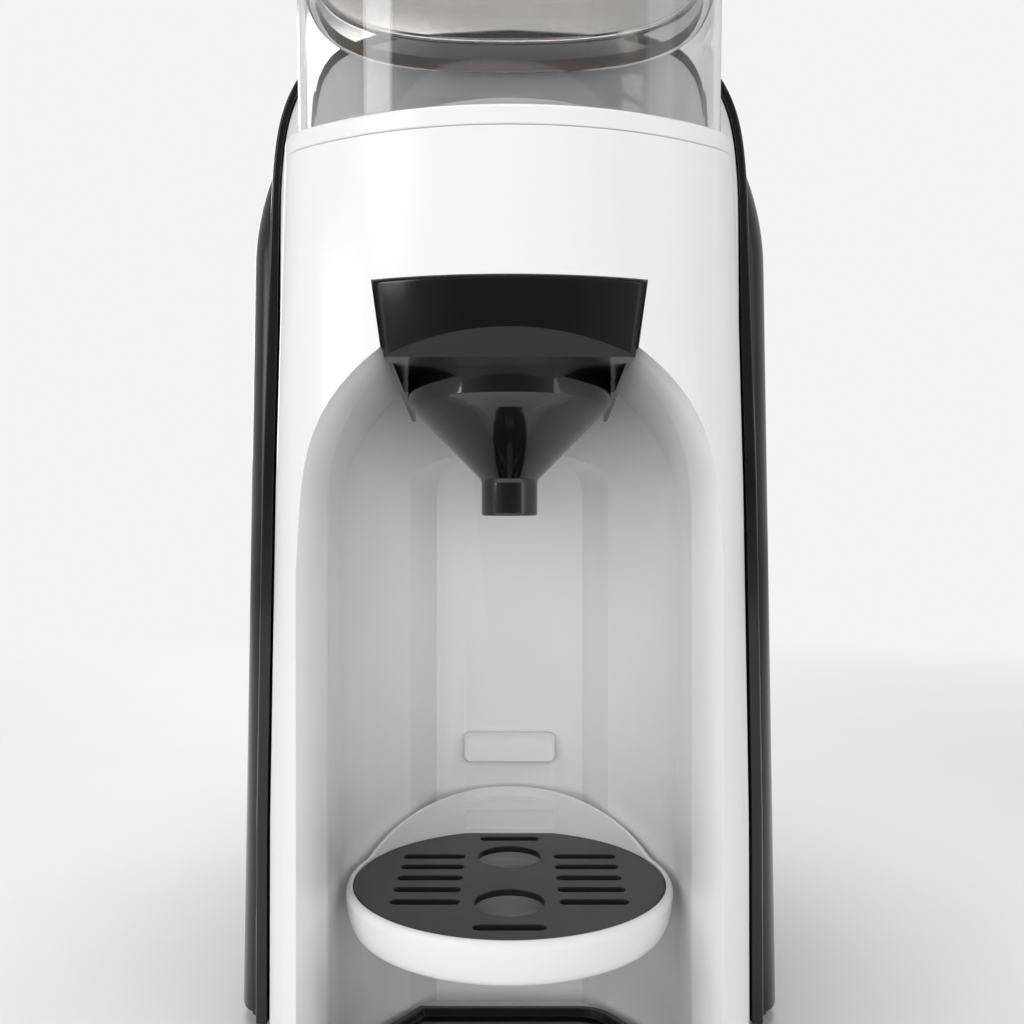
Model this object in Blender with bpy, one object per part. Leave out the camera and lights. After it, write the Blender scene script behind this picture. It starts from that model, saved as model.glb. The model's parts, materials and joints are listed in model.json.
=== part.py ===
"""Baby formula maker: a countertop machine that mixes powder and warm water into a bottle.

Lengths are in metres. The origin is the middle of the footprint, on the surface the machine
stands on. The front faces -Y and +Z is up. Every piece is one object, and a piece that moves
has its origin on its own axis.
"""

import math

import bmesh
import bpy
from mathutils import Matrix, Vector

MM = 0.001

# Overall envelope
WIDTH = 194 * MM
DEPTH = 319 * MM
GAP = 0.3 * MM
OVERRUN = 6 * MM
TINY = 0.001 * MM

# Base stack, from the table up
FOOT_HEIGHT = 2.7 * MM
FOOT_RADIUS = 9 * MM
BASE_COVER_THICKNESS = 2.4 * MM
BASE_COVER_INSET = 3 * MM
BAY_FLOOR_THICKNESS = 1.5 * MM
FLOOR_PLATE_THICKNESS = 1.5 * MM
BASE_BOTTOM = FOOT_HEIGHT + GAP
BASE_TOP = BASE_BOTTOM + BASE_COVER_THICKNESS
HOUSING_BOTTOM = BASE_TOP + GAP
BAY_FLOOR = HOUSING_BOTTOM + BAY_FLOOR_THICKNESS

# Bottle bay's straight height, which the head's height goes with
BAY_SPRING_HEIGHT = 177.8 * MM

# Head and columns: plan outline of the white front housing
TOE = 5.5 * MM
TOE_RISE = 30 * MM
FRONT_RADIUS = 97 * MM
CORNER_RADIUS = 20 * MM
COLUMN_INSET = 28.9 * MM
COLUMN_HALF_WIDTH = WIDTH / 2 - COLUMN_INSET
HEAD_NARROWING = 4.8 * MM
CORNER_DEPTH = 27 * MM
HEAD_DEPTH = 92 * MM
SIDE_FLARE = 11 * MM
HEAD_RISE = 97.1 * MM
HEAD_HEIGHT = BAY_SPRING_HEIGHT + HEAD_RISE
HOUSING_WALL = 2.6 * MM
FRONT_Y = -DEPTH / 2 + TOE
CORNER_Y = FRONT_Y + CORNER_DEPTH
PANEL_Y = FRONT_Y + HEAD_DEPTH
HEAD_TOP = HOUSING_BOTTOM + HEAD_HEIGHT

# Bottle bay: round back wall, straight sides, flared lips and a vaulted top
BAY_SHARE = 52 / 68.1
BAY_RADIUS = COLUMN_HALF_WIDTH * BAY_SHARE
BAY_AXIS_DEPTH = 54 * MM
BAY_WALL = 2.4 * MM
CREASE_DEPTH = 34 * MM
LIP_DEPTHS = (26 * MM, 20 * MM, 14 * MM)
LIP_FLARES = (2.6 * MM, 6.5 * MM, 14 * MM)
LIP_OUT_FLARE = 32 * MM
LIP_FADE_DROP = 19.8 * MM
LIP_FADE_START = BAY_SPRING_HEIGHT - LIP_FADE_DROP
LIP_FADE_HEIGHT = 60 * MM
CHANNEL_HALF_WIDTH = 26 * MM
CHANNEL_DEPTH = 12.5 * MM
CHANNEL_CHAMFER = 8 * MM
CHANNEL_RISE = 15 * MM
CHANNEL_HEIGHT = BAY_SPRING_HEIGHT + CHANNEL_RISE
CHANNEL_CORNER = 14 * MM
BAY_Y = FRONT_Y + BAY_AXIS_DEPTH
CREASE_Y = FRONT_Y + CREASE_DEPTH
BAY_SPRING_Z = BAY_FLOOR + BAY_SPRING_HEIGHT
CHANNEL_MOUTH_HALF = CHANNEL_HALF_WIDTH + CHANNEL_CHAMFER
CHANNEL_MOUTH_Y = BAY_Y + math.sqrt(BAY_RADIUS**2 - CHANNEL_MOUTH_HALF**2)
CHANNEL_BACK_Y = CHANNEL_MOUTH_Y + CHANNEL_DEPTH

# Ledges on the channel wall, which the tray hangs on
LEDGE_WIDTH = 31 * MM
LEDGE_DEPTH = 5 * MM
LEDGE_HEIGHT = 10 * MM
LEDGE_EDGE = 2 * MM
LEDGE_PITCH = 25.7 * MM
LOWER_LEDGE_TOP = BAY_FLOOR + 70.1 * MM

# Drip tray and its grate
TRAY_CLEARANCE = 2.3 * MM
TRAY_RADIUS = BAY_RADIUS - TRAY_CLEARANCE
TRAY_FOOT_INSET = 5.7 * MM
TRAY_FOOT_RADIUS = TRAY_RADIUS - TRAY_FOOT_INSET
TRAY_RIM = 2.1 * MM
TRAY_FLOOR = 2.2 * MM
TRAY_HEIGHT = 13 * MM
TRAY_BACK_RISE = 15.1 * MM
TRAY_BACK_START = 18 * MM
TRAY_SHELF = 2.4 * MM
TRAY_RIM_Z = LOWER_LEDGE_TOP - 7.8 * MM
TRAY_BOTTOM = TRAY_RIM_Z - TRAY_HEIGHT
HOOK_WALL = 1.5 * MM
GRATE_THICKNESS = 2 * MM
GRATE_DROP = 0.5 * MM
GRATE_SLOT_SHARES = (9.9 / 49.7, 3.7 / 49.7, 20.1 / 49.7, 14.4 / 49.7)
GRATE_HOLE_SHARES = (10.15 / 49.7, 20 / 49.7, 38.3 / 49.7)
GRATE_SLOT_PITCH = TRAY_RADIUS * GRATE_SLOT_SHARES[0]
GRATE_SLOT_WIDTH = TRAY_RADIUS * GRATE_SLOT_SHARES[1]
GRATE_SLOT_LENGTH = TRAY_RADIUS * GRATE_SLOT_SHARES[2]
GRATE_SLOT_START = TRAY_RADIUS * GRATE_SLOT_SHARES[3]
GRATE_HOLE_RADIUS = TRAY_RADIUS * GRATE_HOLE_SHARES[0]
GRATE_HOLE_OFFSET = TRAY_RADIUS * GRATE_HOLE_SHARES[1]
GRATE_END_SLOT_OFFSET = TRAY_RADIUS * GRATE_HOLE_SHARES[2]

# Arch panel, trim and rear body: front view outline and depth
PANEL_THICKNESS = 2.6 * MM
TRIM_BAND = 4.6 * MM
TRIM_DEPTH = 8 * MM
TRIM_PROUD = 1 * MM
TRIM_LIP = 3 * MM
TRIM_INSET = 9.5 * MM
TRIM_HALF_WIDTH = WIDTH / 2 - TRIM_INSET
TRIM_TAPER = 0.0146
TRIM_CORNER_RADIUS = 40 * MM
TRIM_CORNER_RISE = 25.4 * MM
TRIM_CORNER_Z = HEAD_TOP + TRIM_CORNER_RISE
CROWN_ANGLE = math.radians(9)
REAR_TAPER = 0.0185
REAR_ROUND_SHARES = (52 / 194, 45 / 194)
REAR_CORNER_RADIUS = WIDTH * REAR_ROUND_SHARES[0]
REAR_CORNER_RISE = 7.4 * MM
REAR_CORNER_Z = HEAD_TOP + REAR_CORNER_RISE
REAR_FLARE_DEPTH = 17 * MM
REAR_ROUND_DEPTH = 84 * MM
REAR_SIDE_ROUND = WIDTH * REAR_ROUND_SHARES[1]
REAR_TOP_ROUND = 12 * MM
REAR_WALL = 2.4 * MM
SPINE_DEPTH = 38 * MM
TANK_DECK_Z = 107 * MM
TANK_RISE = 41.4 * MM
TANK_TOP_Z = HEAD_TOP + TANK_RISE
TANK_WALL = 2.4 * MM
TANK_FLOOR = 3 * MM
PANEL_WINDOW_MARGIN = 7 * MM
TRIM_FRONT_Y = PANEL_Y - TRIM_PROUD
TRIM_BACK_Y = TRIM_FRONT_Y + TRIM_DEPTH
REAR_FRONT_Y = TRIM_BACK_Y + GAP
REAR_Y = DEPTH / 2
TANK_FRONT_Y = REAR_FRONT_Y + SPINE_DEPTH

# Funnel drawer and funnel
DRAWER_TOP = BAY_SPRING_Z + 57 * MM
DRAWER_FACE_HEIGHT = 20 * MM
DRAWER_SPREAD = 3.3 * MM
DRAWER_TAIL = 3 * MM
DRAWER_FACE_THICKNESS = 12 * MM
DRAWER_BEVEL_RISE = 7 * MM
DRAWER_BEVEL_DEPTH = 9 * MM
DRAWER_PLATE = 2.4 * MM
CHEEK_THICKNESS = 1.2 * MM
CHEEK_DROP = 10 * MM
SLOT_CLEARANCE = 0.5 * MM
SLOT_DROP = 7 * MM
FUNNEL_RADIUS = 31 * MM
FUNNEL_WALL = 1.8 * MM
FUNNEL_LIP = 0.8 * MM
FUNNEL_RIM_RISE = 12 * MM
FUNNEL_SKIRT = 6 * MM
FUNNEL_SHOULDER = 4.5 * MM
FUNNEL_CONE_RADIUS = 28.8 * MM
FUNNEL_CONE_HEIGHT = 20.5 * MM
SPOUT_RADIUS = 8.6 * MM
SPOUT_LENGTH = 10.8 * MM
DRAWER_BOTTOM = DRAWER_TOP - DRAWER_FACE_HEIGHT
DRAWER_HALF_BOTTOM = FUNNEL_RADIUS + FUNNEL_LIP + GAP + CHEEK_THICKNESS
DRAWER_HALF_TOP = DRAWER_HALF_BOTTOM + DRAWER_SPREAD
DRAWER_LENGTH = BAY_AXIS_DEPTH + FUNNEL_RADIUS + DRAWER_TAIL
SLOT_TOP = DRAWER_TOP + SLOT_CLEARANCE
CEILING_TOP = SLOT_TOP + BAY_WALL

# Powder drive in the head
DRIVE_DEPTH = 48 * MM
GEAR_MODULE = 1.5 * MM
GEAR_TEETH = 24
PINION_TEETH = 10
GEAR_WIDTH = 6 * MM
TOOTH_HEIGHT_SHARES = (1.15, 0.85)
TOOTH_ROOT_SHARE = 0.58
TOOTH_TIP_SHARE = 0.24
SHAFT_RADIUS = 3 * MM
HEX_RADIUS = 4 * MM
COUPLING_RADIUS = 8 * MM
COUPLING_THICKNESS = 3.4 * MM
MOTOR_RADIUS = 11 * MM
MOTOR_HEIGHT = 16 * MM
MOTOR_SHAFT_RADIUS = 1.5 * MM
MOTOR_SOCKET = 4 * MM
DRIVE_PLATE_THICKNESS = 2 * MM
DRIVE_PLATE_MARGIN = 14 * MM
DRIVE_PLATE_HALF_DEPTH = 16 * MM
POST_RADIUS = 2.5 * MM
CHUTE_OFFSET = 28 * MM
CHUTE_RADIUS = 6.5 * MM
CHUTE_WALL = 1.4 * MM
NOZZLE_SIDE = 22 * MM
NOZZLE_OFFSET = 16 * MM
NOZZLE_RADIUS = 2.8 * MM
NOZZLE_FLANGE = 2.4 * MM
NOZZLE_HEIGHT = 12 * MM
DRIVE_Y = FRONT_Y + DRIVE_DEPTH
MOTOR_BOTTOM = CEILING_TOP + GAP
DRIVE_PLATE_Z = MOTOR_BOTTOM + MOTOR_HEIGHT + GAP
GEAR_Z = DRIVE_PLATE_Z + DRIVE_PLATE_THICKNESS + GAP
GEAR_SPACING = GEAR_MODULE * (GEAR_TEETH + PINION_TEETH) / 2
CHUTE_Y = DRIVE_Y + CHUTE_OFFSET
NOZZLE_Y = DRIVE_Y + NOZZLE_OFFSET

# Deck and powder container
DECK_FLOOR = 2.3 * MM
DECK_RIM = 3.3 * MM
DECK_EDGE = 1.4 * MM
POCKET_CLEARANCE = 0.4 * MM
CONTAINER_INSET = 5.2 * MM
CONTAINER_SPREAD = 0.8 * MM
CONTAINER_HALF_WIDTH = COLUMN_HALF_WIDTH - CONTAINER_INSET
CONTAINER_FOOT_HALF_WIDTH = CONTAINER_HALF_WIDTH - CONTAINER_SPREAD
CONTAINER_HALF_DEPTH = 42 * MM
CONTAINER_HEIGHT = 56.5 * MM
CONTAINER_WALL = 2 * MM
CONTAINER_FLOOR = 2.5 * MM
OVAL_POWER = 2.5
LID_THICKNESS = 4 * MM
LID_GRIP_HEIGHT = 4.4 * MM
LID_GRIP_HALF_WIDTH = 26 * MM
LID_GRIP_HALF_DEPTH = 9 * MM
LID_SKIRT = 11 * MM
LID_SKIRT_WALL = 1.8 * MM
SEAL_WIDTH = 1 * MM
SEAL_HEIGHT = 3.5 * MM
WHEEL_RADIUS = 38 * MM
WHEEL_RIM = 2.5 * MM
WHEEL_HEIGHT = 5 * MM
WHEEL_HUB_RADIUS = 8 * MM
WHEEL_HUB_HEIGHT = 11 * MM
WHEEL_SPOKES = 6
WHEEL_SPOKE_WIDTH = 3 * MM
DECK_BOTTOM = HEAD_TOP + GAP
CONTAINER_BOTTOM = DECK_BOTTOM + DECK_FLOOR + GAP
CONTAINER_TOP = CONTAINER_BOTTOM + CONTAINER_HEIGHT
WHEEL_Z = CONTAINER_BOTTOM + CONTAINER_FLOOR + GAP

# Water tank valve and the socket under it
VALVE_DEPTH = 89.5 * MM
VALVE_Y = REAR_Y - VALVE_DEPTH
VALVE_RADIUS = 9.7 * MM
VALVE_FLANGE = 3.3 * MM
VALVE_FLANGE_THICKNESS = 2 * MM
VALVE_DROP = 4.3 * MM
VALVE_SHELF = 2 * MM
VALVE_BORE = 5 * MM
STEM_RADIUS = 1.4 * MM
STEM_CLEARANCE = 1 * MM
PLUNGER_HEAD_RADIUS = 5 * MM
PLUNGER_HEAD = 2 * MM
PLUNGER_FOOT = 1.2 * MM
VALVE_SEAL_WIDTH = 1.6 * MM
VALVE_SEAL_HEIGHT = 1 * MM
SPRING_WIRE = 0.35 * MM
SPRING_TURNS = 4
SOCKET_WALL = 2 * MM
SOCKET_FLANGE = 3 * MM
SOCKET_DEPTH = 9 * MM
SOCKET_PORT = 8 * MM
SOCKET_PORT_OFFSET = 5.5 * MM
SOCKET_PIN_RADIUS = 1.2 * MM
PLUNGER_FOOT_RADIUS = 4 * MM
SPRING_RADIUS = 3.2 * MM
TANK_BOTTOM = TANK_DECK_Z + GAP

# Water path in the base
PUMP_SIZE = (36 * MM, 58 * MM, 34 * MM)
PUMP_X = -45 * MM
PUMP_AHEAD = 8 * MM
PUMP_Y = VALVE_Y - PUMP_AHEAD
PUMP_PORT_SPACING = 24 * MM
PUMP_EDGE = 5 * MM
HEATER_RADIUS = 22 * MM
HEATER_HEIGHT = 66 * MM
HEATER_X = 45 * MM
HEATER_AHEAD = 10 * MM
HEATER_Y = VALVE_Y - HEATER_AHEAD
HEATER_PORT_SPACING = 24 * MM
PORT_RADIUS = 3 * MM
PORT_HEIGHT = 8 * MM
HOSE_RADIUS = 3.2 * MM
HOSE_SIDE = 3 * MM
HOSE_DROP = 7 * MM
HOSE_RISE_X = 28 * MM
INLET_BEND_SHARES = ((0.27, 0, -0.6, -1.3), (0.73, 0, 0.4, 1.8))
PUMP_BEND_SHARES = ((0.08, 0, -1.2, 4.1), (0.37, 0, -2.3, 6.8), (0.74, 0, -1.7, 5.9))
DECK_BEND_SHARES = ((0.06, 2.8, 0, 2.7), (0.32, 4.8, 0, 1.9), (0.7, 3.4, 0, -0.3))
SPINE_BEND_SHARES = ((0.11, 1.9, 0, 0), (0.43, 0, 0, 0), (0.76, 0, 0, 0))
HEAD_BEND_SHARES = ((0.4, -1.8, 3, 2.5), (0.75, -1.9, 2.4, 2.8))

# Electronics
BOARD_SIZE = (60 * MM, 1.6 * MM, 84 * MM)
BOARD_X = -22 * MM
BOARD_Z = 165 * MM
BOARD_STANDOFF = 4 * MM
BOARD_STANDOFF_RADIUS = 2.2 * MM
BOARD_EDGE = 5 * MM
CHIP_HALF = 9 * MM
CHIP_HEIGHT = 2.5 * MM
RELAY_HALF_WIDTH = 7 * MM
RELAY_HALF_HEIGHT = 11 * MM
RELAY_HEIGHT = 6 * MM
BOARD_LAYOUT_SHARES = (0.45, 0.5)
INLET_HALF_WIDTH = 12 * MM
INLET_HALF_HEIGHT = 8 * MM
INLET_DEPTH = 16 * MM
INLET_FLANGE = 3 * MM
INLET_FLANGE_THICKNESS = 1.6 * MM
INLET_RECESS = 12 * MM
INLET_WALL = 2 * MM
INLET_PIN_RADIUS = 1.2 * MM
INLET_PIN_SPACING = 8.6 * MM
INLET_Z = 30 * MM

# Control panel on the machine's right side
PANEL_CENTRE_DEPTH = 56 * MM
PANEL_CENTRE_DROP = 52.6 * MM
PANEL_CENTRE_Z = HEAD_TOP - PANEL_CENTRE_DROP
CONTROL_HALF_DEPTH = 22 * MM
CONTROL_HALF_HEIGHT = 40 * MM
CONTROL_THICKNESS = 3 * MM
CONTROL_CORNER = 5 * MM
CONTROL_RECESS = 0.3 * MM
CONTROL_SEAT = 1.6 * MM
DISPLAY_HALF_DEPTH = 15 * MM
DISPLAY_HALF_HEIGHT = 9 * MM
DISPLAY_RISE = 26 * MM
DISPLAY_THICKNESS = 1.4 * MM
BUTTON_RADIUS = 4.5 * MM
START_RADIUS = 8 * MM
BUTTON_PROUD = 0.9 * MM
BUTTON_STEM = 2.6 * MM
BUTTON_CLEARANCE = 0.35 * MM
BUTTON_PITCH = 15 * MM
BUTTON_ROW_TOP = 5 * MM
START_DROP = 26 * MM

# Screws that hold the base cover
SCREW_HEAD_RADIUS = 3 * MM
SCREW_HEAD_HEIGHT = 1.6 * MM
SCREW_RADIUS = 1.5 * MM
SCREW_LENGTH = 12 * MM
BOSS_RADIUS = 6.5 * MM
BOSS_HEIGHT = 16 * MM
BOSS_SEAT = 1.2 * MM
COLUMN_SCREW_Y = BAY_Y
COLUMN_SIDE = COLUMN_HALF_WIDTH + SIDE_FLARE * (COLUMN_SCREW_Y - CORNER_Y) / (PANEL_Y - CORNER_Y)
COLUMN_SCREW_X = COLUMN_SIDE - HOUSING_WALL - BOSS_RADIUS + BOSS_SEAT
REAR_SCREW_X = WIDTH / 2 - REAR_WALL - BOSS_RADIUS + BOSS_SEAT
REAR_SCREW_Y = REAR_Y - REAR_ROUND_DEPTH

# Facets
ROUND_STEPS = 20
FINE_STEPS = 32
SMALL_STEPS = 10
ARC_STEPS = 4
FRONT_ARC_STEPS = 6
SMOOTH_ANGLE = math.radians(32)
FLAT_ANGLE = math.radians(0.01)


def clear_scene():
    """Remove whatever the file holds at the start."""
    for item in list(bpy.data.objects):
        bpy.data.objects.remove(item, do_unlink=True)


def make_material(name, colour, roughness, metallic=0.0, alpha=1.0):
    """Return a Principled material of one colour."""
    material = bpy.data.materials.new(name)
    material.use_nodes = True
    shader = material.node_tree.nodes["Principled BSDF"]
    shader.inputs["Base Color"].default_value = (*colour, 1.0)
    shader.inputs["Roughness"].default_value = roughness
    shader.inputs["Metallic"].default_value = metallic
    shader.inputs["Alpha"].default_value = alpha
    material.diffuse_color = (*colour, alpha)
    return material


def mesh_object(name, vertices, faces, material=None, origin=(0, 0, 0)):
    """Return an object of one closed mesh, given in world places, with its origin where asked."""
    mesh = bpy.data.meshes.new(name)
    shift = Vector(origin)
    mesh.from_pydata([Vector(v) - shift for v in vertices], [], faces)
    work = bmesh.new()
    work.from_mesh(mesh)
    bmesh.ops.recalc_face_normals(work, faces=work.faces)
    bmesh.ops.connect_verts_nonplanar(work, angle_limit=FLAT_ANGLE, faces=work.faces)
    work.to_mesh(mesh)
    work.free()
    mesh.shade_smooth()
    mesh.set_sharp_from_angle(angle=SMOOTH_ANGLE)
    item = bpy.data.objects.new(name, mesh)
    item.location = shift
    if material:
        mesh.materials.append(material)
    bpy.context.scene.collection.objects.link(item)
    return item


def loft(rings):
    """Return vertices and faces of a closed solid through rings of equal counts, capped at both ends."""
    count = len(rings[0])
    vertices = [point for ring in rings for point in ring]
    faces = [list(range(count))[::-1]]
    for level in range(len(rings) - 1):
        low = level * count
        high = low + count
        for i in range(count):
            j = (i + 1) % count
            faces.append([low + i, low + j, high + j, high + i])
    faces.append([(len(rings) - 1) * count + i for i in range(count)])
    return vertices, faces


def prism(outline, low, high, axis="Z"):
    """Return a solid of one outline, drawn out between two places along an axis."""
    if axis == "Z":
        return loft([[(a, b, z) for a, b in outline] for z in (low, high)])
    if axis == "X":
        return loft([[(x, a, b) for a, b in outline] for x in (low, high)])
    return loft([[(a, y, b) for a, b in outline] for y in (low, high)])


def block(low, high):
    """Return a box between two corners."""
    outline = [(low[0], low[1]), (high[0], low[1]), (high[0], high[1]), (low[0], high[1])]
    return prism(outline, low[2], high[2])


def circle(radius, steps, centre=(0, 0), phase=0.0):
    """Return the points of a circle."""
    points = []
    for i in range(steps):
        angle = phase + math.tau * i / steps
        points.append((centre[0] + radius * math.cos(angle), centre[1] + radius * math.sin(angle)))
    return points


def turned(profile, steps, centre):
    """Return a solid of revolution about an upright axis, from a closed (radius, height) profile."""
    vertices = []
    rows = []
    for radius, height in profile:
        if radius < TINY:
            rows.append([len(vertices)] * steps)
            vertices.append((centre[0], centre[1], height))
            continue
        rows.append([len(vertices) + i for i in range(steps)])
        vertices.extend((x, y, height) for x, y in circle(radius, steps, centre))
    faces = []
    for k, row in enumerate(rows):
        following = rows[(k + 1) % len(rows)]
        for i in range(steps):
            j = (i + 1) % steps
            corners = [row[i], row[j], following[j], following[i]]
            face = list(dict.fromkeys(corners))
            if len(face) > 2:
                faces.append(face)
    return vertices, faces


def merged(*solids):
    """Return several separate solids as one vertex and face list, for a cutter."""
    vertices = []
    faces = []
    for points, sides in solids:
        start = len(vertices)
        vertices.extend(points)
        faces.extend([start + i for i in side] for side in sides)
    return vertices, faces


def combine(target, solid, operation, name):
    """Add a Boolean to the target, with a helper object that no render shows."""
    helper = solid if isinstance(solid, bpy.types.Object) else mesh_object(name, *solid)
    helper.hide_render = True
    helper.display_type = "WIRE"
    step = target.modifiers.new(name, "BOOLEAN")
    step.operation = operation
    step.object = helper
    step.solver = "EXACT"
    return helper


def cut(target, solid, name):
    """Take a solid away from the target."""
    return combine(target, solid, "DIFFERENCE", name)


def join(target, solid, name):
    """Add a solid to the target."""
    return combine(target, solid, "UNION", name)


def keep_inside(target, solid, name):
    """Keep only what of the target lies in a solid."""
    return combine(target, solid, "INTERSECT", name)


def round_edges(item, width, segments=2, angle=math.radians(50)):
    """Round the sharp edges of an object."""
    step = item.modifiers.new("round_edges", "BEVEL")
    step.width = width
    step.segments = segments
    step.limit_method = "ANGLE"
    step.angle_limit = angle
    step.use_clamp_overlap = True


def arc(centre, radius, start, end, steps, ends=(True, True)):
    """Return points of an arc, with either end left out where asked."""
    first = 0 if ends[0] else 1
    last = steps if ends[1] else steps - 1
    points = []
    for i in range(first, last + 1):
        angle = start + (end - start) * i / steps
        points.append((centre[0] + radius * math.cos(angle), centre[1] + radius * math.sin(angle)))
    return points


def rounded_rectangle(half_a, half_b, radius, steps=3, centre=(0, 0)):
    """Return a rectangle's outline with round corners."""
    points = []
    for quarter, (side_a, side_b) in enumerate(((1, 1), (-1, 1), (-1, -1), (1, -1))):
        corner = (centre[0] + side_a * (half_a - radius), centre[1] + side_b * (half_b - radius))
        start = quarter * math.pi / 2
        points += arc(corner, radius, start, start + math.pi / 2, steps)
    return points


def oval(half_x, half_y, steps=FINE_STEPS, centre=(0, DRIVE_Y)):
    """Return the container's outline, an ellipse with fuller corners."""
    points = []
    for i in range(steps):
        angle = math.tau * i / steps
        across = math.copysign(abs(math.cos(angle)) ** (2 / OVAL_POWER), math.cos(angle))
        along = math.copysign(abs(math.sin(angle)) ** (2 / OVAL_POWER), math.sin(angle))
        points.append((centre[0] + half_x * across, centre[1] + half_y * along))
    return points


def arch_outline(half_foot, taper, foot_z, corner_z, radius):
    """Return (x, z) points of an arch, from its right foot over the crown to its left foot."""
    centre_x = half_foot - taper * corner_z - radius
    right = [(half_foot - taper * foot_z, foot_z)]
    right += arc((centre_x, corner_z), radius, 0, math.pi / 2 - CROWN_ANGLE, ARC_STEPS + 1)
    crown_radius = radius + centre_x / math.sin(CROWN_ANGLE)
    crown_z = corner_z - centre_x / math.tan(CROWN_ANGLE)
    crown_start = math.pi / 2 - CROWN_ANGLE
    crown_end = math.pi / 2 + CROWN_ANGLE
    crown = arc((0, crown_z), crown_radius, crown_start, crown_end, ARC_STEPS, (False, False))
    left = [(-x, z) for x, z in reversed(right)]
    return right + crown + left


def trim_outline(inset, foot_z):
    """Return the trim's front outline, moved inwards."""
    radius = TRIM_CORNER_RADIUS - inset
    return arch_outline(TRIM_HALF_WIDTH - inset, TRIM_TAPER, foot_z, TRIM_CORNER_Z, radius)


def rear_stations(inset, front_y):
    """Return (y, side inset, top inset) from the front of the rear body to its back."""
    front_inset = WIDTH / 2 - TRIM_HALF_WIDTH
    straight_y = REAR_Y - REAR_ROUND_DEPTH
    stations = [(front_y, front_inset + inset, front_inset / 2 + inset)]
    if front_y < REAR_FRONT_Y:
        stations.append((REAR_FRONT_Y, front_inset + inset, front_inset / 2 + inset))
    for i in range(1, ARC_STEPS - 1):
        turn = math.pi / 2 * i / (ARC_STEPS - 2)
        left_over = front_inset * (1 - math.sin(turn))
        y = REAR_FRONT_Y + REAR_FLARE_DEPTH * (1 - math.cos(turn))
        stations.append((y, left_over + inset, left_over / 2 + inset))
    for i in range(2 * ARC_STEPS - 2):
        turn = math.pi / 2 * i / (2 * ARC_STEPS - 3)
        y = straight_y + (REAR_ROUND_DEPTH - inset) * math.sin(turn)
        lean = 1 - math.cos(turn)
        side = inset + (REAR_SIDE_ROUND - inset) * lean
        stations.append((y, side, inset + (REAR_TOP_ROUND - inset) * lean))
    return stations


def rear_form(inset, front_y, foot_z):
    """Return the rear body's form as a solid, moved inwards by an inset."""
    rings = []
    for y, side, top in rear_stations(inset, front_y):
        radius = REAR_CORNER_RADIUS - top
        outline = arch_outline(WIDTH / 2 - side, REAR_TAPER, foot_z, REAR_CORNER_Z, radius)
        rings.append([(x, y, z) for x, z in outline])
    return loft(rings)


def side_line(half, inset=0.0):
    """Return a point of the head's side line, its direction backwards and its outward normal, in plan."""
    slope = math.atan2(SIDE_FLARE, PANEL_Y - CORNER_Y)
    along = Vector((math.sin(slope), math.cos(slope)))
    outward = Vector((math.cos(slope), -math.sin(slope)))
    return Vector((half, CORNER_Y)) - outward * inset, along, outward


def head_half_width(z):
    """Return the head's half width at its front corners, which narrows upwards."""
    return COLUMN_HALF_WIDTH - HEAD_NARROWING * (z / HEAD_TOP) ** 2


def toe_reach(z):
    """Return how far the foot of the front stands forward at a height."""
    rise = min(max((z - HOUSING_BOTTOM) / TOE_RISE, 0), 1)
    return TOE * (1 - rise) ** 2


def head_outline(z, inset=0.0, back_y=PANEL_Y - GAP):
    """Return the head's plan outline at a height: from the right back corner round the front to the left."""
    start, along, outward = side_line(head_half_width(z), inset)
    front = Vector((0, FRONT_Y + FRONT_RADIUS))
    radius = CORNER_RADIUS - inset
    offset = start - outward * radius - front
    reach = FRONT_RADIUS - CORNER_RADIUS
    half_b = offset.dot(along)
    slide = -half_b - math.sqrt(half_b**2 - offset.dot(offset) + reach**2)
    corner = start - outward * radius + along * slide
    to_corner = corner - front
    join_angle = math.atan2(to_corner.y, to_corner.x)
    side_angle = math.atan2(outward.y, outward.x)
    back = start + along * ((back_y - start.y) / along.y)
    right = [(back.x, back.y)]
    right += arc(corner, radius, side_angle, join_angle, ARC_STEPS)
    right += arc(front, FRONT_RADIUS - inset, join_angle, -math.pi / 2, FRONT_ARC_STEPS, (False, False))
    middle = [(0, FRONT_Y + inset)]
    left = [(-x, y) for x, y in reversed(right)]
    toe = toe_reach(z)
    points = []
    for x, y in right + middle + left:
        share = min(max((CORNER_Y - y) / CORNER_DEPTH, 0), 1)
        points.append((x, y - toe * share))
    return points


def head_form(inset, bottom, top, back_y=PANEL_Y - GAP):
    """Return the head and columns as a solid, moved inwards by an inset."""
    toe_top = HOUSING_BOTTOM + TOE_RISE
    heights = [bottom]
    heights += [HOUSING_BOTTOM + TOE_RISE * share for share in (0, 0.25, 0.55)]
    heights += [toe_top + (HEAD_TOP - toe_top) * share for share in (0, 0.3, 0.55, 0.75, 0.9)]
    heights.append(top)
    return loft([[(x, y, z) for x, y in head_outline(z, inset, back_y)] for z in heights])


def lip_flare(z):
    """Return how much of the lips' flare a height has: all of it low down and none in the vault."""
    return 1 - min(max((z - BAY_FLOOR - LIP_FADE_START) / LIP_FADE_HEIGHT, 0), 1)


def bay_ring(half, z, grow):
    """Return the bay's plan outline at a height: from the right front round the back to the left front."""
    radius = BAY_RADIUS + grow
    flare = lip_flare(z)
    right = [(half + LIP_OUT_FLARE * flare, FRONT_Y - 2 * OVERRUN)]
    places = [FRONT_Y + depth for depth in LIP_DEPTHS]
    for y, out in reversed(list(zip(places, LIP_FLARES))):
        right.append((half + out * flare, y))
    right.append((half, CREASE_Y))
    rest = []
    for i in range(ARC_STEPS + 1):
        x = half * math.cos(math.pi / 2 * i / (ARC_STEPS + 1))
        rest.append((x, BAY_Y + math.sqrt(radius**2 - x**2)))
    middle = [(0, BAY_Y + radius)]
    side = right + rest
    ring = side + middle + [(-x, y) for x, y in reversed(side)]
    return [(x, y, z) for x, y in ring]


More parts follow.
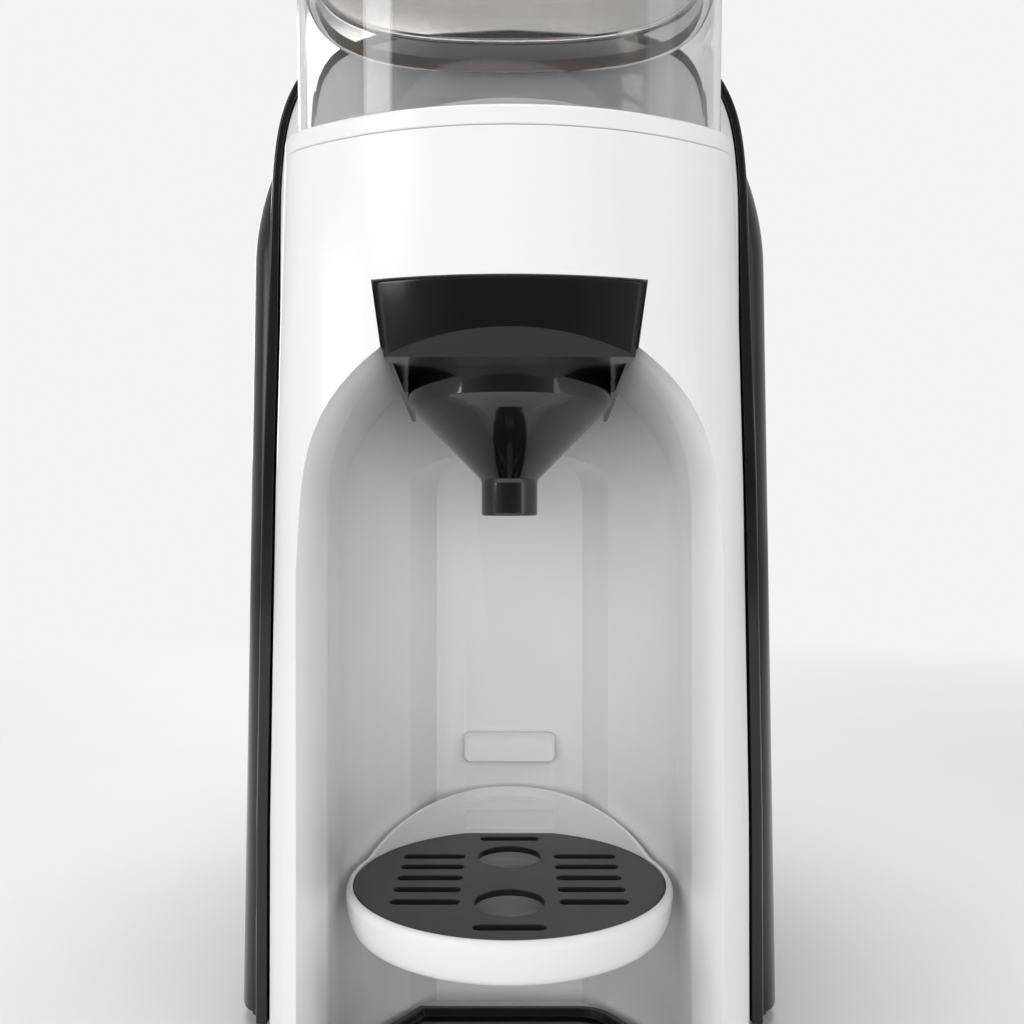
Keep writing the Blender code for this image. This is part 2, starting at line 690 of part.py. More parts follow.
def bay_form(grow=0.0, floor=BAY_FLOOR):
    """Return the bottle bay's space as a solid, made larger by a wall."""
    radius = BAY_RADIUS + grow
    rings = [bay_ring(radius, floor, grow)]
    fade = BAY_FLOOR + LIP_FADE_START
    rings += [bay_ring(radius, z, grow) for z in (fade, (fade + BAY_SPRING_Z) / 2)]
    for degrees in (0, 12, 25, 38, 50, 61, 71, 79, 85):
        turn = math.radians(degrees)
        rings.append(bay_ring(radius * math.cos(turn), BAY_SPRING_Z + radius * math.sin(turn), grow))
    return loft(rings)


def channel_form(grow=0.0, floor=BAY_FLOOR):
    """Return the flat channel in the bay's back wall as a solid, made larger by a wall."""
    top = BAY_FLOOR + CHANNEL_HEIGHT + grow
    front_y = CHANNEL_MOUTH_Y - CHANNEL_CHAMFER
    back_y = CHANNEL_BACK_Y + grow
    rings = []
    for y, half, drop in (
        (front_y, CHANNEL_MOUTH_HALF + grow, 0),
        (CHANNEL_MOUTH_Y, CHANNEL_MOUTH_HALF + grow, 0),
        (back_y, CHANNEL_HALF_WIDTH + grow, CHANNEL_CHAMFER),
    ):
        low = [(half, y, floor)]
        corner = (half - CHANNEL_CORNER, top - drop - CHANNEL_CORNER)
        high = [(x, y, z) for x, z in arc(corner, CHANNEL_CORNER, 0, math.pi / 2, ARC_STEPS)]
        side = low + high
        rings.append(side + [(-x, y, z) for x, y, z in reversed(side)])
    return loft(rings)


def slot_form(grow=0.0, drop=0.0):
    """Return the funnel drawer's slot through the head's front, made larger by a wall."""
    top = SLOT_TOP + grow
    bottom = DRAWER_BOTTOM - SLOT_DROP - drop
    rings = []
    for z in (bottom, DRAWER_BOTTOM, top):
        half = drawer_half_width(z) + SLOT_CLEARANCE + grow
        back = FRONT_Y + DRAWER_LENGTH + SLOT_CLEARANCE + grow
        front = FRONT_Y - 2 * OVERRUN
        rings.append([(half, front, z), (half, back, z), (-half, back, z), (-half, front, z)])
    return loft(rings)


def drawer_half_width(z):
    """Return the drawer front's half width at a height."""
    share = (z - DRAWER_BOTTOM) / DRAWER_FACE_HEIGHT
    return DRAWER_HALF_BOTTOM + (DRAWER_HALF_TOP - DRAWER_HALF_BOTTOM) * max(share, 0)


def build_front_housing(finish):
    """Build the white shell of the head and columns, with the bay's lips and the drawer's opening."""
    foot = HOUSING_BOTTOM - OVERRUN
    below = foot - OVERRUN
    housing = mesh_object("front_housing", *head_form(0, foot, HEAD_TOP), finish)
    lips = mesh_object("lip_walls", *bay_form(BAY_WALL, below - OVERRUN))
    keep_inside(lips, block((-WIDTH, -DEPTH, below - 2 * OVERRUN), (WIDTH, CREASE_Y, HEAD_TOP)), "front_part")
    cut(lips, slot_form(BAY_WALL + GAP), "guide_room")
    hollow = mesh_object("head_hollow", *head_form(HOUSING_WALL, below, HEAD_TOP + OVERRUN))
    cut(hollow, lips, "lip_walls_cut")
    for name, x in (("right_boss", COLUMN_SCREW_X), ("left_boss", -COLUMN_SCREW_X)):
        post = circle(BOSS_RADIUS, SMALL_STEPS, (x, COLUMN_SCREW_Y))
        cut(hollow, prism(post, below - 3 * OVERRUN, HOUSING_BOTTOM + BOSS_HEIGHT), name)
    cut(housing, hollow, "head_space")
    cut(housing, block((-WIDTH, -DEPTH, below - 4 * OVERRUN), (WIDTH, DEPTH, HOUSING_BOTTOM)), "level_foot")
    cut(housing, bay_form(), "bay_space")
    cut(housing, slot_form(), "slot_space")
    holes = []
    for x in (COLUMN_SCREW_X, -COLUMN_SCREW_X):
        outline = circle(SCREW_RADIUS + GAP, SMALL_STEPS, (x, COLUMN_SCREW_Y))
        holes.append(prism(outline, HOUSING_BOTTOM - OVERRUN, BASE_BOTTOM + SCREW_LENGTH + GAP))
    cut(housing, merged(*holes), "screw_holes")
    cut(housing, control_recess(), "control_opening")
    return housing


def build_bay_liner(finish):
    """Build the bay's curved wall and dome behind the lips, open for the channel panel and the guide."""
    foot = HOUSING_BOTTOM - OVERRUN
    liner = mesh_object("bay_liner", *bay_form(BAY_WALL, foot), finish)
    behind = block((-WIDTH, CREASE_Y + GAP, HOUSING_BOTTOM), (WIDTH, PANEL_Y + BAY_RADIUS, HEAD_TOP))
    keep_inside(liner, behind, "behind_lips")
    cut(liner, bay_form(), "bay_space")
    cut(liner, channel_form(BAY_WALL + GAP, foot - OVERRUN), "channel_opening")
    cut(liner, slot_form(BAY_WALL + GAP), "guide_opening")
    return liner


def build_channel_panel(finish):
    """Build the flat panel set into the bay's back wall, with the two ledges that the tray hangs on."""
    foot = HOUSING_BOTTOM - OVERRUN
    panel = mesh_object("channel_panel", *channel_form(BAY_WALL, foot), finish)
    cut(panel, block((-WIDTH, -DEPTH, foot - OVERRUN), (WIDTH, DEPTH, HOUSING_BOTTOM)), "level_foot")
    cut(panel, bay_form(), "bay_space")
    cut(panel, channel_form(), "channel_space")
    for name, top in (("lower_ledge", LOWER_LEDGE_TOP), ("upper_ledge", LOWER_LEDGE_TOP + LEDGE_PITCH)):
        join(panel, ledge(top), name)
    return panel


def build_drawer_guide(finish):
    """Build the open box behind the head's front that the funnel drawer slides in."""
    guide = mesh_object("drawer_guide", *slot_form(BAY_WALL), finish)
    inside = head_form(HOUSING_WALL + GAP, HOUSING_BOTTOM, HEAD_TOP)
    keep_inside(guide, inside, "inside_head")
    cut(guide, slot_form(0, OVERRUN), "drawer_space")
    cut(guide, block((-WIDTH, -DEPTH, HOUSING_BOTTOM), (WIDTH, DEPTH, DRAWER_BOTTOM)), "level_foot")
    cut(guide, bay_form(), "bay_space")
    chute = circle(CHUTE_RADIUS + GAP, SMALL_STEPS, (0, CHUTE_Y))
    nozzle = circle(NOZZLE_RADIUS + GAP, SMALL_STEPS, (-NOZZLE_SIDE, NOZZLE_Y))
    holes = [prism(outline, SLOT_TOP - BAY_WALL, CEILING_TOP + BAY_WALL) for outline in (chute, nozzle)]
    cut(guide, merged(*holes), "guide_holes")
    return guide


def ledge(top):
    """Return one ledge of the channel wall, with a sloped front edge."""
    front = CHANNEL_BACK_Y - LEDGE_DEPTH
    rear = CHANNEL_BACK_Y + BAY_WALL / 2
    outline = [
        (rear, top - LEDGE_HEIGHT),
        (front, top - LEDGE_HEIGHT),
        (front, top - LEDGE_EDGE),
        (front + LEDGE_EDGE, top),
        (rear, top),
    ]
    return prism(outline, -LEDGE_WIDTH / 2, LEDGE_WIDTH / 2, "X")


def build_deck_ring(finish):
    """Build the white top of the head, with the pocket that the powder container stands in."""
    top = DECK_BOTTOM + DECK_FLOOR + DECK_RIM
    outline = head_outline(HEAD_TOP)
    deck = mesh_object("deck_ring", *prism(outline, DECK_BOTTOM, top), finish)
    round_edges(deck, DECK_EDGE, 3)
    pocket = oval(CONTAINER_FOOT_HALF_WIDTH + POCKET_CLEARANCE, CONTAINER_HALF_DEPTH + POCKET_CLEARANCE)
    cut(deck, prism(pocket, DECK_BOTTOM + DECK_FLOOR, top + OVERRUN), "container_pocket")
    shaft = circle(HEX_RADIUS + 2 * POCKET_CLEARANCE, SMALL_STEPS, (0, DRIVE_Y))
    chute = circle(CHUTE_RADIUS - CHUTE_WALL, SMALL_STEPS, (0, CHUTE_Y))
    holes = [prism(hole, DECK_BOTTOM - OVERRUN, top + OVERRUN) for hole in (shaft, chute)]
    cut(deck, merged(*holes), "deck_holes")
    return deck


def build_arch_panel(finish):
    """Build the white panel behind the head, with a window for what passes into the head."""
    foot = HOUSING_BOTTOM
    outline = trim_outline(TRIM_BAND, foot)
    panel = mesh_object("arch_panel", *prism(outline, PANEL_Y, PANEL_Y + PANEL_THICKNESS, "Y"), finish)
    half = head_half_width(HEAD_TOP) - PANEL_WINDOW_MARGIN
    low = HOUSING_BOTTOM - 2 * PANEL_WINDOW_MARGIN
    high = HEAD_TOP - PANEL_WINDOW_MARGIN
    window = rounded_rectangle(half, (high - low) / 2, PANEL_WINDOW_MARGIN, 3, (0, (low + high) / 2))
    cut(panel, prism(window, PANEL_Y - OVERRUN, PANEL_Y + OVERRUN, "Y"), "panel_window")
    return panel


def build_frame_trim(finish):
    """Build the black band round the arch panel, with the lip behind that the panel seats on."""
    foot = HOUSING_BOTTOM
    trim = mesh_object("frame_trim", *prism(trim_outline(0, foot), TRIM_FRONT_Y, TRIM_BACK_Y, "Y"), finish)
    round_edges(trim, TRIM_PROUD, 2)
    seat_y = PANEL_Y + PANEL_THICKNESS + GAP
    opening = prism(trim_outline(TRIM_BAND - GAP, foot - OVERRUN), TRIM_FRONT_Y - OVERRUN, seat_y, "Y")
    cut(trim, opening, "panel_opening")
    through = trim_outline(TRIM_BAND + TRIM_LIP, foot - OVERRUN)
    cut(trim, prism(through, TRIM_FRONT_Y, TRIM_BACK_Y + OVERRUN, "Y"), "trim_opening")
    return trim


def build_rear_housing(finish):
    """Build the dark rear body: the spine behind the panel and the deck that carries the tank."""
    housing = mesh_object("rear_housing", *rear_form(0, REAR_FRONT_Y, HOUSING_BOTTOM), finish)
    wide = WIDTH
    tank_space = block((-wide, TANK_FRONT_Y, TANK_DECK_Z), (wide, REAR_Y + OVERRUN, 2 * REAR_CORNER_Z))
    cut(housing, tank_space, "tank_space")
    inside = rear_form(REAR_WALL, REAR_FRONT_Y - OVERRUN, HOUSING_BOTTOM - OVERRUN)
    hollow = mesh_object("rear_hollow", *inside)
    deck_corner = (-wide, TANK_FRONT_Y - REAR_WALL, TANK_DECK_Z - REAR_WALL)
    deck = block(deck_corner, (wide, REAR_Y + OVERRUN, 2 * REAR_CORNER_Z))
    cut(hollow, deck, "tank_deck")
    for name, x in (("left_rear_boss", -REAR_SCREW_X), ("right_rear_boss", REAR_SCREW_X)):
        post = circle(BOSS_RADIUS, SMALL_STEPS, (x, REAR_SCREW_Y))
        cut(hollow, prism(post, HOUSING_BOTTOM - 2 * OVERRUN, HOUSING_BOTTOM + BOSS_HEIGHT), name)
    cut(housing, hollow, "rear_space")
    valve = circle(VALVE_RADIUS + SOCKET_WALL, ROUND_STEPS, (0, VALVE_Y))
    holes = [prism(valve, TANK_DECK_Z - OVERRUN, TANK_BOTTOM)]
    for x in (REAR_SCREW_X, -REAR_SCREW_X):
        outline = circle(SCREW_RADIUS + GAP, SMALL_STEPS, (x, REAR_SCREW_Y))
        holes.append(prism(outline, HOUSING_BOTTOM - OVERRUN, BASE_BOTTOM + SCREW_LENGTH + GAP))
    socket = rounded_rectangle(INLET_HALF_WIDTH + GAP, INLET_HALF_HEIGHT + GAP, INLET_WALL, 3, (0, INLET_Z))
    holes.append(prism(socket, REAR_Y - INLET_DEPTH, REAR_Y + OVERRUN, "Y"))
    cut(housing, merged(*holes), "rear_holes")
    return housing


def base_outline():
    """Return the base cover's plan outline, inside both housings' feet."""
    z = HOUSING_BOTTOM
    front = head_outline(z, BASE_COVER_INSET, PANEL_Y)
    right = [(x, y) for x, y in front[1 : len(front) // 2]]
    rear = []
    for y, side, _ in rear_stations(BASE_COVER_INSET, REAR_FRONT_Y):
        rear.append((WIDTH / 2 - side, y))
    side = list(reversed(right)) + [(TRIM_HALF_WIDTH - BASE_COVER_INSET - TRIM_BAND, PANEL_Y)] + rear
    return [front[len(front) // 2]] + side + [(-x, y) for x, y in reversed(side)]


def screw_places():
    """Return each base screw's name with its place in plan."""
    return (
        ("base_screw_front_left", (-COLUMN_SCREW_X, COLUMN_SCREW_Y)),
        ("base_screw_front_right", (COLUMN_SCREW_X, COLUMN_SCREW_Y)),
        ("base_screw_rear_left", (-REAR_SCREW_X, REAR_SCREW_Y)),
        ("base_screw_rear_right", (REAR_SCREW_X, REAR_SCREW_Y)),
    )


def build_base_cover(finish):
    """Build the plate that closes the machine from below."""
    cover = mesh_object("base_cover", *prism(base_outline(), BASE_BOTTOM, BASE_TOP), finish)
    holes = []
    for _, place in screw_places():
        hole = circle(SCREW_RADIUS + GAP, SMALL_STEPS, place)
        holes.append(prism(hole, BASE_BOTTOM - OVERRUN, BASE_TOP + OVERRUN))
    cut(cover, merged(*holes), "cover_holes")
    heads = []
    for _, place in screw_places():
        head = circle(SCREW_HEAD_RADIUS + GAP, SMALL_STEPS, place)
        heads.append(prism(head, BASE_BOTTOM - OVERRUN, BASE_BOTTOM + SCREW_HEAD_HEIGHT + GAP))
    cut(cover, merged(*heads), "head_recesses")
    return cover


def build_screws(finish):
    """Build the four screws that hold the base cover."""
    for name, place in screw_places():
        profile = [
            (0, BASE_BOTTOM),
            (SCREW_HEAD_RADIUS, BASE_BOTTOM),
            (SCREW_HEAD_RADIUS, BASE_BOTTOM + SCREW_HEAD_HEIGHT),
            (SCREW_RADIUS, BASE_BOTTOM + SCREW_HEAD_HEIGHT),
            (SCREW_RADIUS, BASE_BOTTOM + SCREW_LENGTH - SCREW_RADIUS),
            (0, BASE_BOTTOM + SCREW_LENGTH),
        ]
        mesh_object(name, *turned(profile, SMALL_STEPS, place), finish, (*place, BASE_BOTTOM))


def build_feet(finish):
    """Build the four rubber feet under the base cover."""
    front_y = FRONT_Y + 2 * CORNER_RADIUS
    rear_y = REAR_Y - REAR_ROUND_DEPTH / 2
    front_x = COLUMN_HALF_WIDTH - CORNER_RADIUS
    rear_x = WIDTH / 2 - REAR_SIDE_ROUND
    for end, y, reach in (("front", front_y, front_x), ("rear", rear_y, rear_x)):
        for side, x in (("left", -reach), ("right", reach)):
            profile = [
                (0, 0),
                (FOOT_RADIUS - FOOT_HEIGHT / 2, 0),
                (FOOT_RADIUS, FOOT_HEIGHT / 2),
                (FOOT_RADIUS, FOOT_HEIGHT),
                (0, FOOT_HEIGHT),
            ]
            mesh_object(f"foot_{end}_{side}", *turned(profile, ROUND_STEPS, (x, y)), finish, (x, y, 0))


def build_floor_plate(finish):
    """Build the black plate in the bottom of the bay."""
    half = BAY_RADIUS - GAP - FLOOR_PLATE_THICKNESS
    back_y = CHANNEL_MOUTH_Y - GAP
    side_y = BAY_Y + math.sqrt((BAY_RADIUS - 2 * GAP) ** 2 - half**2)
    radius = FRONT_RADIUS - TOE
    centre_y = FRONT_Y + FRONT_RADIUS
    right = [(CHANNEL_HALF_WIDTH, back_y), (half, side_y)]
    reach = math.asin(half / radius)
    front = arc((0, centre_y), radius, reach - math.pi / 2, -math.pi / 2, ARC_STEPS)
    outline = right + front + [(-x, y) for x, y in reversed(right + front[:-1])]
    bottom = BAY_FLOOR + GAP
    plate = mesh_object("floor_plate", *prism(outline, bottom, bottom + FLOOR_PLATE_THICKNESS), finish)
    round_edges(plate, FLOOR_PLATE_THICKNESS / 3, 1)
    return plate


def oval_form(inset, bottom, top, steps=FINE_STEPS):
    """Return the powder container's form between two heights, moved inwards by an inset."""
    rings = []
    for z in (bottom, top):
        share = (z - CONTAINER_BOTTOM) / CONTAINER_HEIGHT
        half = CONTAINER_FOOT_HALF_WIDTH + (CONTAINER_HALF_WIDTH - CONTAINER_FOOT_HALF_WIDTH) * share
        rings.append([(x, y, z) for x, y in oval(half - inset, CONTAINER_HALF_DEPTH - inset, steps)])
    return loft(rings)


def build_powder_container(finish):
    """Build the clear oval container that holds the powder."""
    outside = oval_form(0, CONTAINER_BOTTOM, CONTAINER_TOP)
    container = mesh_object("powder_container", *outside, finish, (0, DRIVE_Y, CONTAINER_BOTTOM))
    inner_bottom = CONTAINER_BOTTOM + CONTAINER_FLOOR
    cut(container, oval_form(CONTAINER_WALL, inner_bottom, CONTAINER_TOP + OVERRUN), "powder_space")
    shaft = circle(HEX_RADIUS + 2 * POCKET_CLEARANCE, SMALL_STEPS, (0, DRIVE_Y))
    outlet = circle(CHUTE_RADIUS - CHUTE_WALL, SMALL_STEPS, (0, CHUTE_Y))
    holes = [prism(hole, CONTAINER_BOTTOM - OVERRUN, inner_bottom + OVERRUN) for hole in (shaft, outlet)]
    cut(container, merged(*holes), "container_holes")
    return container


def build_container_lid(finish, seal_finish):
    """Build the container's lid with its skirt and grip, and the seal round the skirt."""
    bottom = CONTAINER_TOP + GAP
    top = bottom + LID_THICKNESS
    skirt_bottom = CONTAINER_TOP - LID_SKIRT
    skirt_inset = CONTAINER_WALL + 2 * GAP + SEAL_WIDTH
    lid = mesh_object("container_lid", *oval_form(0, bottom, top), finish, (0, DRIVE_Y, bottom))
    grip_round = LID_GRIP_HALF_DEPTH / 2
    grip = rounded_rectangle(LID_GRIP_HALF_WIDTH, LID_GRIP_HALF_DEPTH, grip_round, 3, (0, DRIVE_Y))
    join(lid, prism(grip, bottom + LID_THICKNESS / 2, top + LID_GRIP_HEIGHT), "lid_grip")
    round_edges(lid, LID_THICKNESS / 3, 2)
    skirt = oval_form(skirt_inset, skirt_bottom, bottom + LID_THICKNESS / 2)
    join(lid, skirt, "lid_skirt")
    hollow = oval_form(skirt_inset + LID_SKIRT_WALL, skirt_bottom - OVERRUN, bottom)
    cut(lid, hollow, "lid_hollow")
    seal_bottom = skirt_bottom + SEAL_WIDTH
    seal_top = seal_bottom + SEAL_HEIGHT
    outer = oval_form(CONTAINER_WALL + GAP, seal_bottom, seal_top)
    seal = mesh_object("lid_seal", *outer, seal_finish, (0, DRIVE_Y, bottom))
    cut(seal, oval_form(skirt_inset - GAP, seal_bottom - OVERRUN, seal_top + OVERRUN), "seal_opening")
    return lid


def build_stirring_wheel(finish):
    """Build the spoked wheel that stirs the powder, with a six-sided socket under its hub."""
    centre = (0, DRIVE_Y)
    hub_top = WHEEL_Z + WHEEL_HUB_HEIGHT
    hub = [
        (0, WHEEL_Z),
        (WHEEL_HUB_RADIUS, WHEEL_Z),
        (WHEEL_HUB_RADIUS, hub_top - WHEEL_HUB_RADIUS / 2),
        (WHEEL_HUB_RADIUS / 2, hub_top),
        (0, hub_top),
    ]
    wheel = mesh_object("stirring_wheel", *turned(hub, ROUND_STEPS, centre), finish, (*centre, WHEEL_Z))
    top = WHEEL_Z + WHEEL_HEIGHT
    inner = WHEEL_RADIUS - WHEEL_RIM
    rim = [(inner, WHEEL_Z), (WHEEL_RADIUS, WHEEL_Z), (WHEEL_RADIUS, top), (inner, top)]
    join(wheel, turned(rim, FINE_STEPS, centre), "wheel_rim")
    for index in range(WHEEL_SPOKES // 2):
        turn = math.pi * index / (WHEEL_SPOKES // 2)
        ahead = Vector((math.cos(turn), math.sin(turn))) * (WHEEL_RADIUS - WHEEL_RIM / 2)
        aside = Vector((-math.sin(turn), math.cos(turn))) * (WHEEL_SPOKE_WIDTH / 2)
        corners = (ahead + aside, -ahead + aside, -ahead - aside, ahead - aside)
        spoke = [(centre[0] + c.x, centre[1] + c.y) for c in corners]
        join(wheel, prism(spoke, WHEEL_Z, top - WHEEL_RIM / 4), f"wheel_spoke_{index + 1}")
    socket = circle(HEX_RADIUS + POCKET_CLEARANCE, 6, centre)
    cut(wheel, prism(socket, WHEEL_Z - OVERRUN, hub_top - WHEEL_RIM), "wheel_socket")
    return wheel


def gear_outline(teeth, centre, phase):
    """Return a spur gear's outline with straight-sided teeth, one of them at the phase angle."""
    pitch_radius = GEAR_MODULE * teeth / 2
    root = pitch_radius - GEAR_MODULE * TOOTH_HEIGHT_SHARES[0]
    tip = pitch_radius + GEAR_MODULE * TOOTH_HEIGHT_SHARES[1]
    step = math.tau / teeth
    points = []
    for index in range(teeth):
        middle = phase + index * step
        for radius, share in (
            (root, -TOOTH_ROOT_SHARE / 2),
            (tip, -TOOTH_TIP_SHARE / 2),
            (tip, TOOTH_TIP_SHARE / 2),
            (root, TOOTH_ROOT_SHARE / 2),
        ):
            angle = middle + share * step
            points.append((centre[0] + radius * math.cos(angle), centre[1] + radius * math.sin(angle)))
    return points


def build_powder_drive(plastic, dark, steel, brass):
    """Build the gear train that turns the stirring wheel: motor, plate, gears and coupling."""
    gear_centre = (0, DRIVE_Y)
    motor_centre = (GEAR_SPACING, DRIVE_Y)
    wheel = prism(gear_outline(GEAR_TEETH, gear_centre, 0), GEAR_Z, GEAR_Z + GEAR_WIDTH)
    gear = mesh_object("drive_gear", *wheel, plastic, (*gear_centre, GEAR_Z))
    bore = circle(SHAFT_RADIUS + GAP, ROUND_STEPS, gear_centre)
    cut(gear, prism(bore, GEAR_Z - OVERRUN, GEAR_Z + GEAR_WIDTH + OVERRUN), "gear_bore")
    disc_z = GEAR_Z + GEAR_WIDTH + GAP
    disc_top = disc_z + COUPLING_THICKNESS
    shaft = [
        (0, DRIVE_PLATE_Z),
        (SHAFT_RADIUS, DRIVE_PLATE_Z),
        (SHAFT_RADIUS, disc_z),
        (COUPLING_RADIUS, disc_z),
        (COUPLING_RADIUS, disc_top),
        (0, disc_top),
    ]
    turned_shaft = turned(shaft, ROUND_STEPS, gear_centre)
    coupling = mesh_object("drive_coupling", *turned_shaft, dark, (*gear_centre, GEAR_Z))
    hexagon = circle(HEX_RADIUS, 6, gear_centre)
    key = prism(hexagon, disc_top - COUPLING_THICKNESS / 2, WHEEL_Z + WHEEL_HEIGHT)
    join(coupling, key, "coupling_hexagon")
    tooth_gap = math.pi + math.pi / PINION_TEETH
    teeth = prism(gear_outline(PINION_TEETH, motor_centre, tooth_gap), GEAR_Z, GEAR_Z + GEAR_WIDTH)
    pinion = mesh_object("motor_pinion", *teeth, brass, (*motor_centre, GEAR_Z))
    motor_top = MOTOR_BOTTOM + MOTOR_HEIGHT
    rod = circle(MOTOR_SHAFT_RADIUS, SMALL_STEPS, motor_centre)
    join(pinion, prism(rod, motor_top - MOTOR_SOCKET + GAP, GEAR_Z + GEAR_WIDTH / 2), "motor_shaft")
    body = [
        (0, MOTOR_BOTTOM),
        (MOTOR_RADIUS, MOTOR_BOTTOM),
        (MOTOR_RADIUS, motor_top),
        (MOTOR_SHAFT_RADIUS + GAP, motor_top),
        (MOTOR_SHAFT_RADIUS + GAP, motor_top - MOTOR_SOCKET),
        (0, motor_top - MOTOR_SOCKET),
    ]
    mesh_object("gear_motor", *turned(body, ROUND_STEPS, motor_centre), steel, (*motor_centre, MOTOR_BOTTOM))
    build_drive_plate(steel, gear_centre, motor_centre)
    return gear


def build_drive_plate(finish, gear_centre, motor_centre):
    """Build the plate that carries the motor and the gear, on four posts."""
    left = gear_centre[0] - DRIVE_PLATE_MARGIN
    right = motor_centre[0] + DRIVE_PLATE_MARGIN
    middle = ((left + right) / 2, DRIVE_Y)
    half = (right - left) / 2
    outline = rounded_rectangle(half, DRIVE_PLATE_HALF_DEPTH, POST_RADIUS + GAP, 3, middle)
    top = DRIVE_PLATE_Z + DRIVE_PLATE_THICKNESS
    plate = mesh_object("drive_plate", *prism(outline, DRIVE_PLATE_Z, top), finish)
    for index, (side, end) in enumerate(((1, 1), (-1, 1), (-1, -1), (1, -1))):
        reach = (half - POST_RADIUS - GAP) * side
        depth = (DRIVE_PLATE_HALF_DEPTH - POST_RADIUS - GAP) * end
        post = circle(POST_RADIUS, SMALL_STEPS, (middle[0] + reach, middle[1] + depth))
        pillar = prism(post, MOTOR_BOTTOM, DRIVE_PLATE_Z + DRIVE_PLATE_THICKNESS / 2)
        join(plate, pillar, f"plate_post_{index + 1}")
    bores = [circle(SHAFT_RADIUS + GAP, ROUND_STEPS, gear_centre)]
    bores.append(circle(MOTOR_SHAFT_RADIUS + GAP, SMALL_STEPS, motor_centre))
    cut(plate, merged(*[prism(bore, DRIVE_PLATE_Z - GAP, top + GAP) for bore in bores]), "plate_bores")
    return plate


def build_powder_chute(finish):
    """Build the tube that the powder falls through, from the deck to the funnel."""
    bottom = SLOT_TOP
    top = DECK_BOTTOM - GAP
    inner = CHUTE_RADIUS - CHUTE_WALL
    flange = CHUTE_RADIUS + CHUTE_WALL
    profile = [
        (inner, bottom),
        (CHUTE_RADIUS, bottom),
        (CHUTE_RADIUS, CEILING_TOP + GAP),
        (flange, CEILING_TOP + GAP),
        (flange, CEILING_TOP + GAP + CHUTE_WALL),
        (CHUTE_RADIUS, CEILING_TOP + GAP + CHUTE_WALL),
        (CHUTE_RADIUS, top),
        (inner, top),
    ]
    pipe = turned(profile, SMALL_STEPS, (0, CHUTE_Y))
    return mesh_object("powder_chute", *pipe, finish, (0, CHUTE_Y, bottom))


def build_water_nozzle(finish):
    """Build the nozzle that lets warm water into the funnel."""
    flange_top = CEILING_TOP + GAP + NOZZLE_FLANGE
    bore = NOZZLE_RADIUS / 2
    profile = [
        (bore, SLOT_TOP),
        (NOZZLE_RADIUS, SLOT_TOP),
        (NOZZLE_RADIUS, CEILING_TOP + GAP),
        (NOZZLE_RADIUS + NOZZLE_FLANGE, CEILING_TOP + GAP),
        (NOZZLE_RADIUS + NOZZLE_FLANGE, flange_top),
        (NOZZLE_RADIUS, flange_top),
        (NOZZLE_RADIUS, CEILING_TOP + NOZZLE_HEIGHT),
        (bore, CEILING_TOP + NOZZLE_HEIGHT),
    ]
    centre = (-NOZZLE_SIDE, NOZZLE_Y)
    return mesh_object("water_nozzle", *turned(profile, SMALL_STEPS, centre), finish, (*centre, SLOT_TOP))


def front_arc_points(half, inset):
    """Return points along the head's front arc between two sides, moved inwards."""
    radius = FRONT_RADIUS - inset
    reach = math.asin(half / radius)
    return arc((0, FRONT_Y + FRONT_RADIUS), radius, reach - math.pi / 2, -reach - math.pi / 2, 2 * ARC_STEPS)


def build_funnel_drawer(finish):
    """Build the drawer: a curved front, a plate with the funnel's hole, and a cheek at each side."""
    rings = []
    for z in (DRAWER_BOTTOM, DRAWER_TOP):
        half = drawer_half_width(z)
        front = front_arc_points(half, 0)
        back = reversed(front_arc_points(half, DRAWER_FACE_THICKNESS))
        rings.append([(x, y, z) for x, y in front + list(back)])
    origin = (0, FRONT_Y, DRAWER_BOTTOM)
    drawer = mesh_object("funnel_drawer", *loft(rings), finish, origin)
    slope = DRAWER_BEVEL_RISE / DRAWER_BEVEL_DEPTH
    ahead = FRONT_Y - OVERRUN
    behind = FRONT_Y + DRAWER_BEVEL_DEPTH + OVERRUN
    bevel = [
        (ahead, DRAWER_BOTTOM + DRAWER_BEVEL_RISE + OVERRUN * slope),
        (ahead, DRAWER_BOTTOM - OVERRUN * slope),
        (behind, DRAWER_BOTTOM - OVERRUN * slope),
    ]
    cut(drawer, prism(bevel, -WIDTH, WIDTH, "X"), "drawer_bevel")
    half = DRAWER_HALF_BOTTOM
    back_y = FRONT_Y + DRAWER_LENGTH
    front_y = BAY_Y - FUNNEL_RADIUS - CHEEK_THICKNESS - DRAWER_BEVEL_DEPTH
    shelf = [(half, back_y), (-half, back_y), (-half, front_y), (half, front_y)]
    join(drawer, prism(shelf, DRAWER_BOTTOM, DRAWER_BOTTOM + DRAWER_PLATE), "drawer_plate")
    cheek = [
        (back_y, DRAWER_TOP - DRAWER_PLATE),
        (FRONT_Y + DRAWER_BEVEL_DEPTH + DRAWER_PLATE, DRAWER_TOP - DRAWER_PLATE),
        (FRONT_Y + DRAWER_BEVEL_DEPTH + DRAWER_PLATE, DRAWER_BOTTOM + DRAWER_PLATE / 2),
        (back_y, DRAWER_BOTTOM - CHEEK_DROP),
    ]
    for name, side in (("right_cheek", 1), ("left_cheek", -1)):
        low, high = sorted((side * half, side * (half - CHEEK_THICKNESS)))
        join(drawer, prism(cheek, low, high, "X"), name)
    hole = circle(FUNNEL_RADIUS + GAP, FINE_STEPS, (0, BAY_Y))
    cut(drawer, prism(hole, DRAWER_BOTTOM - OVERRUN, DRAWER_BOTTOM + DRAWER_PLATE + OVERRUN), "funnel_hole")
    return drawer


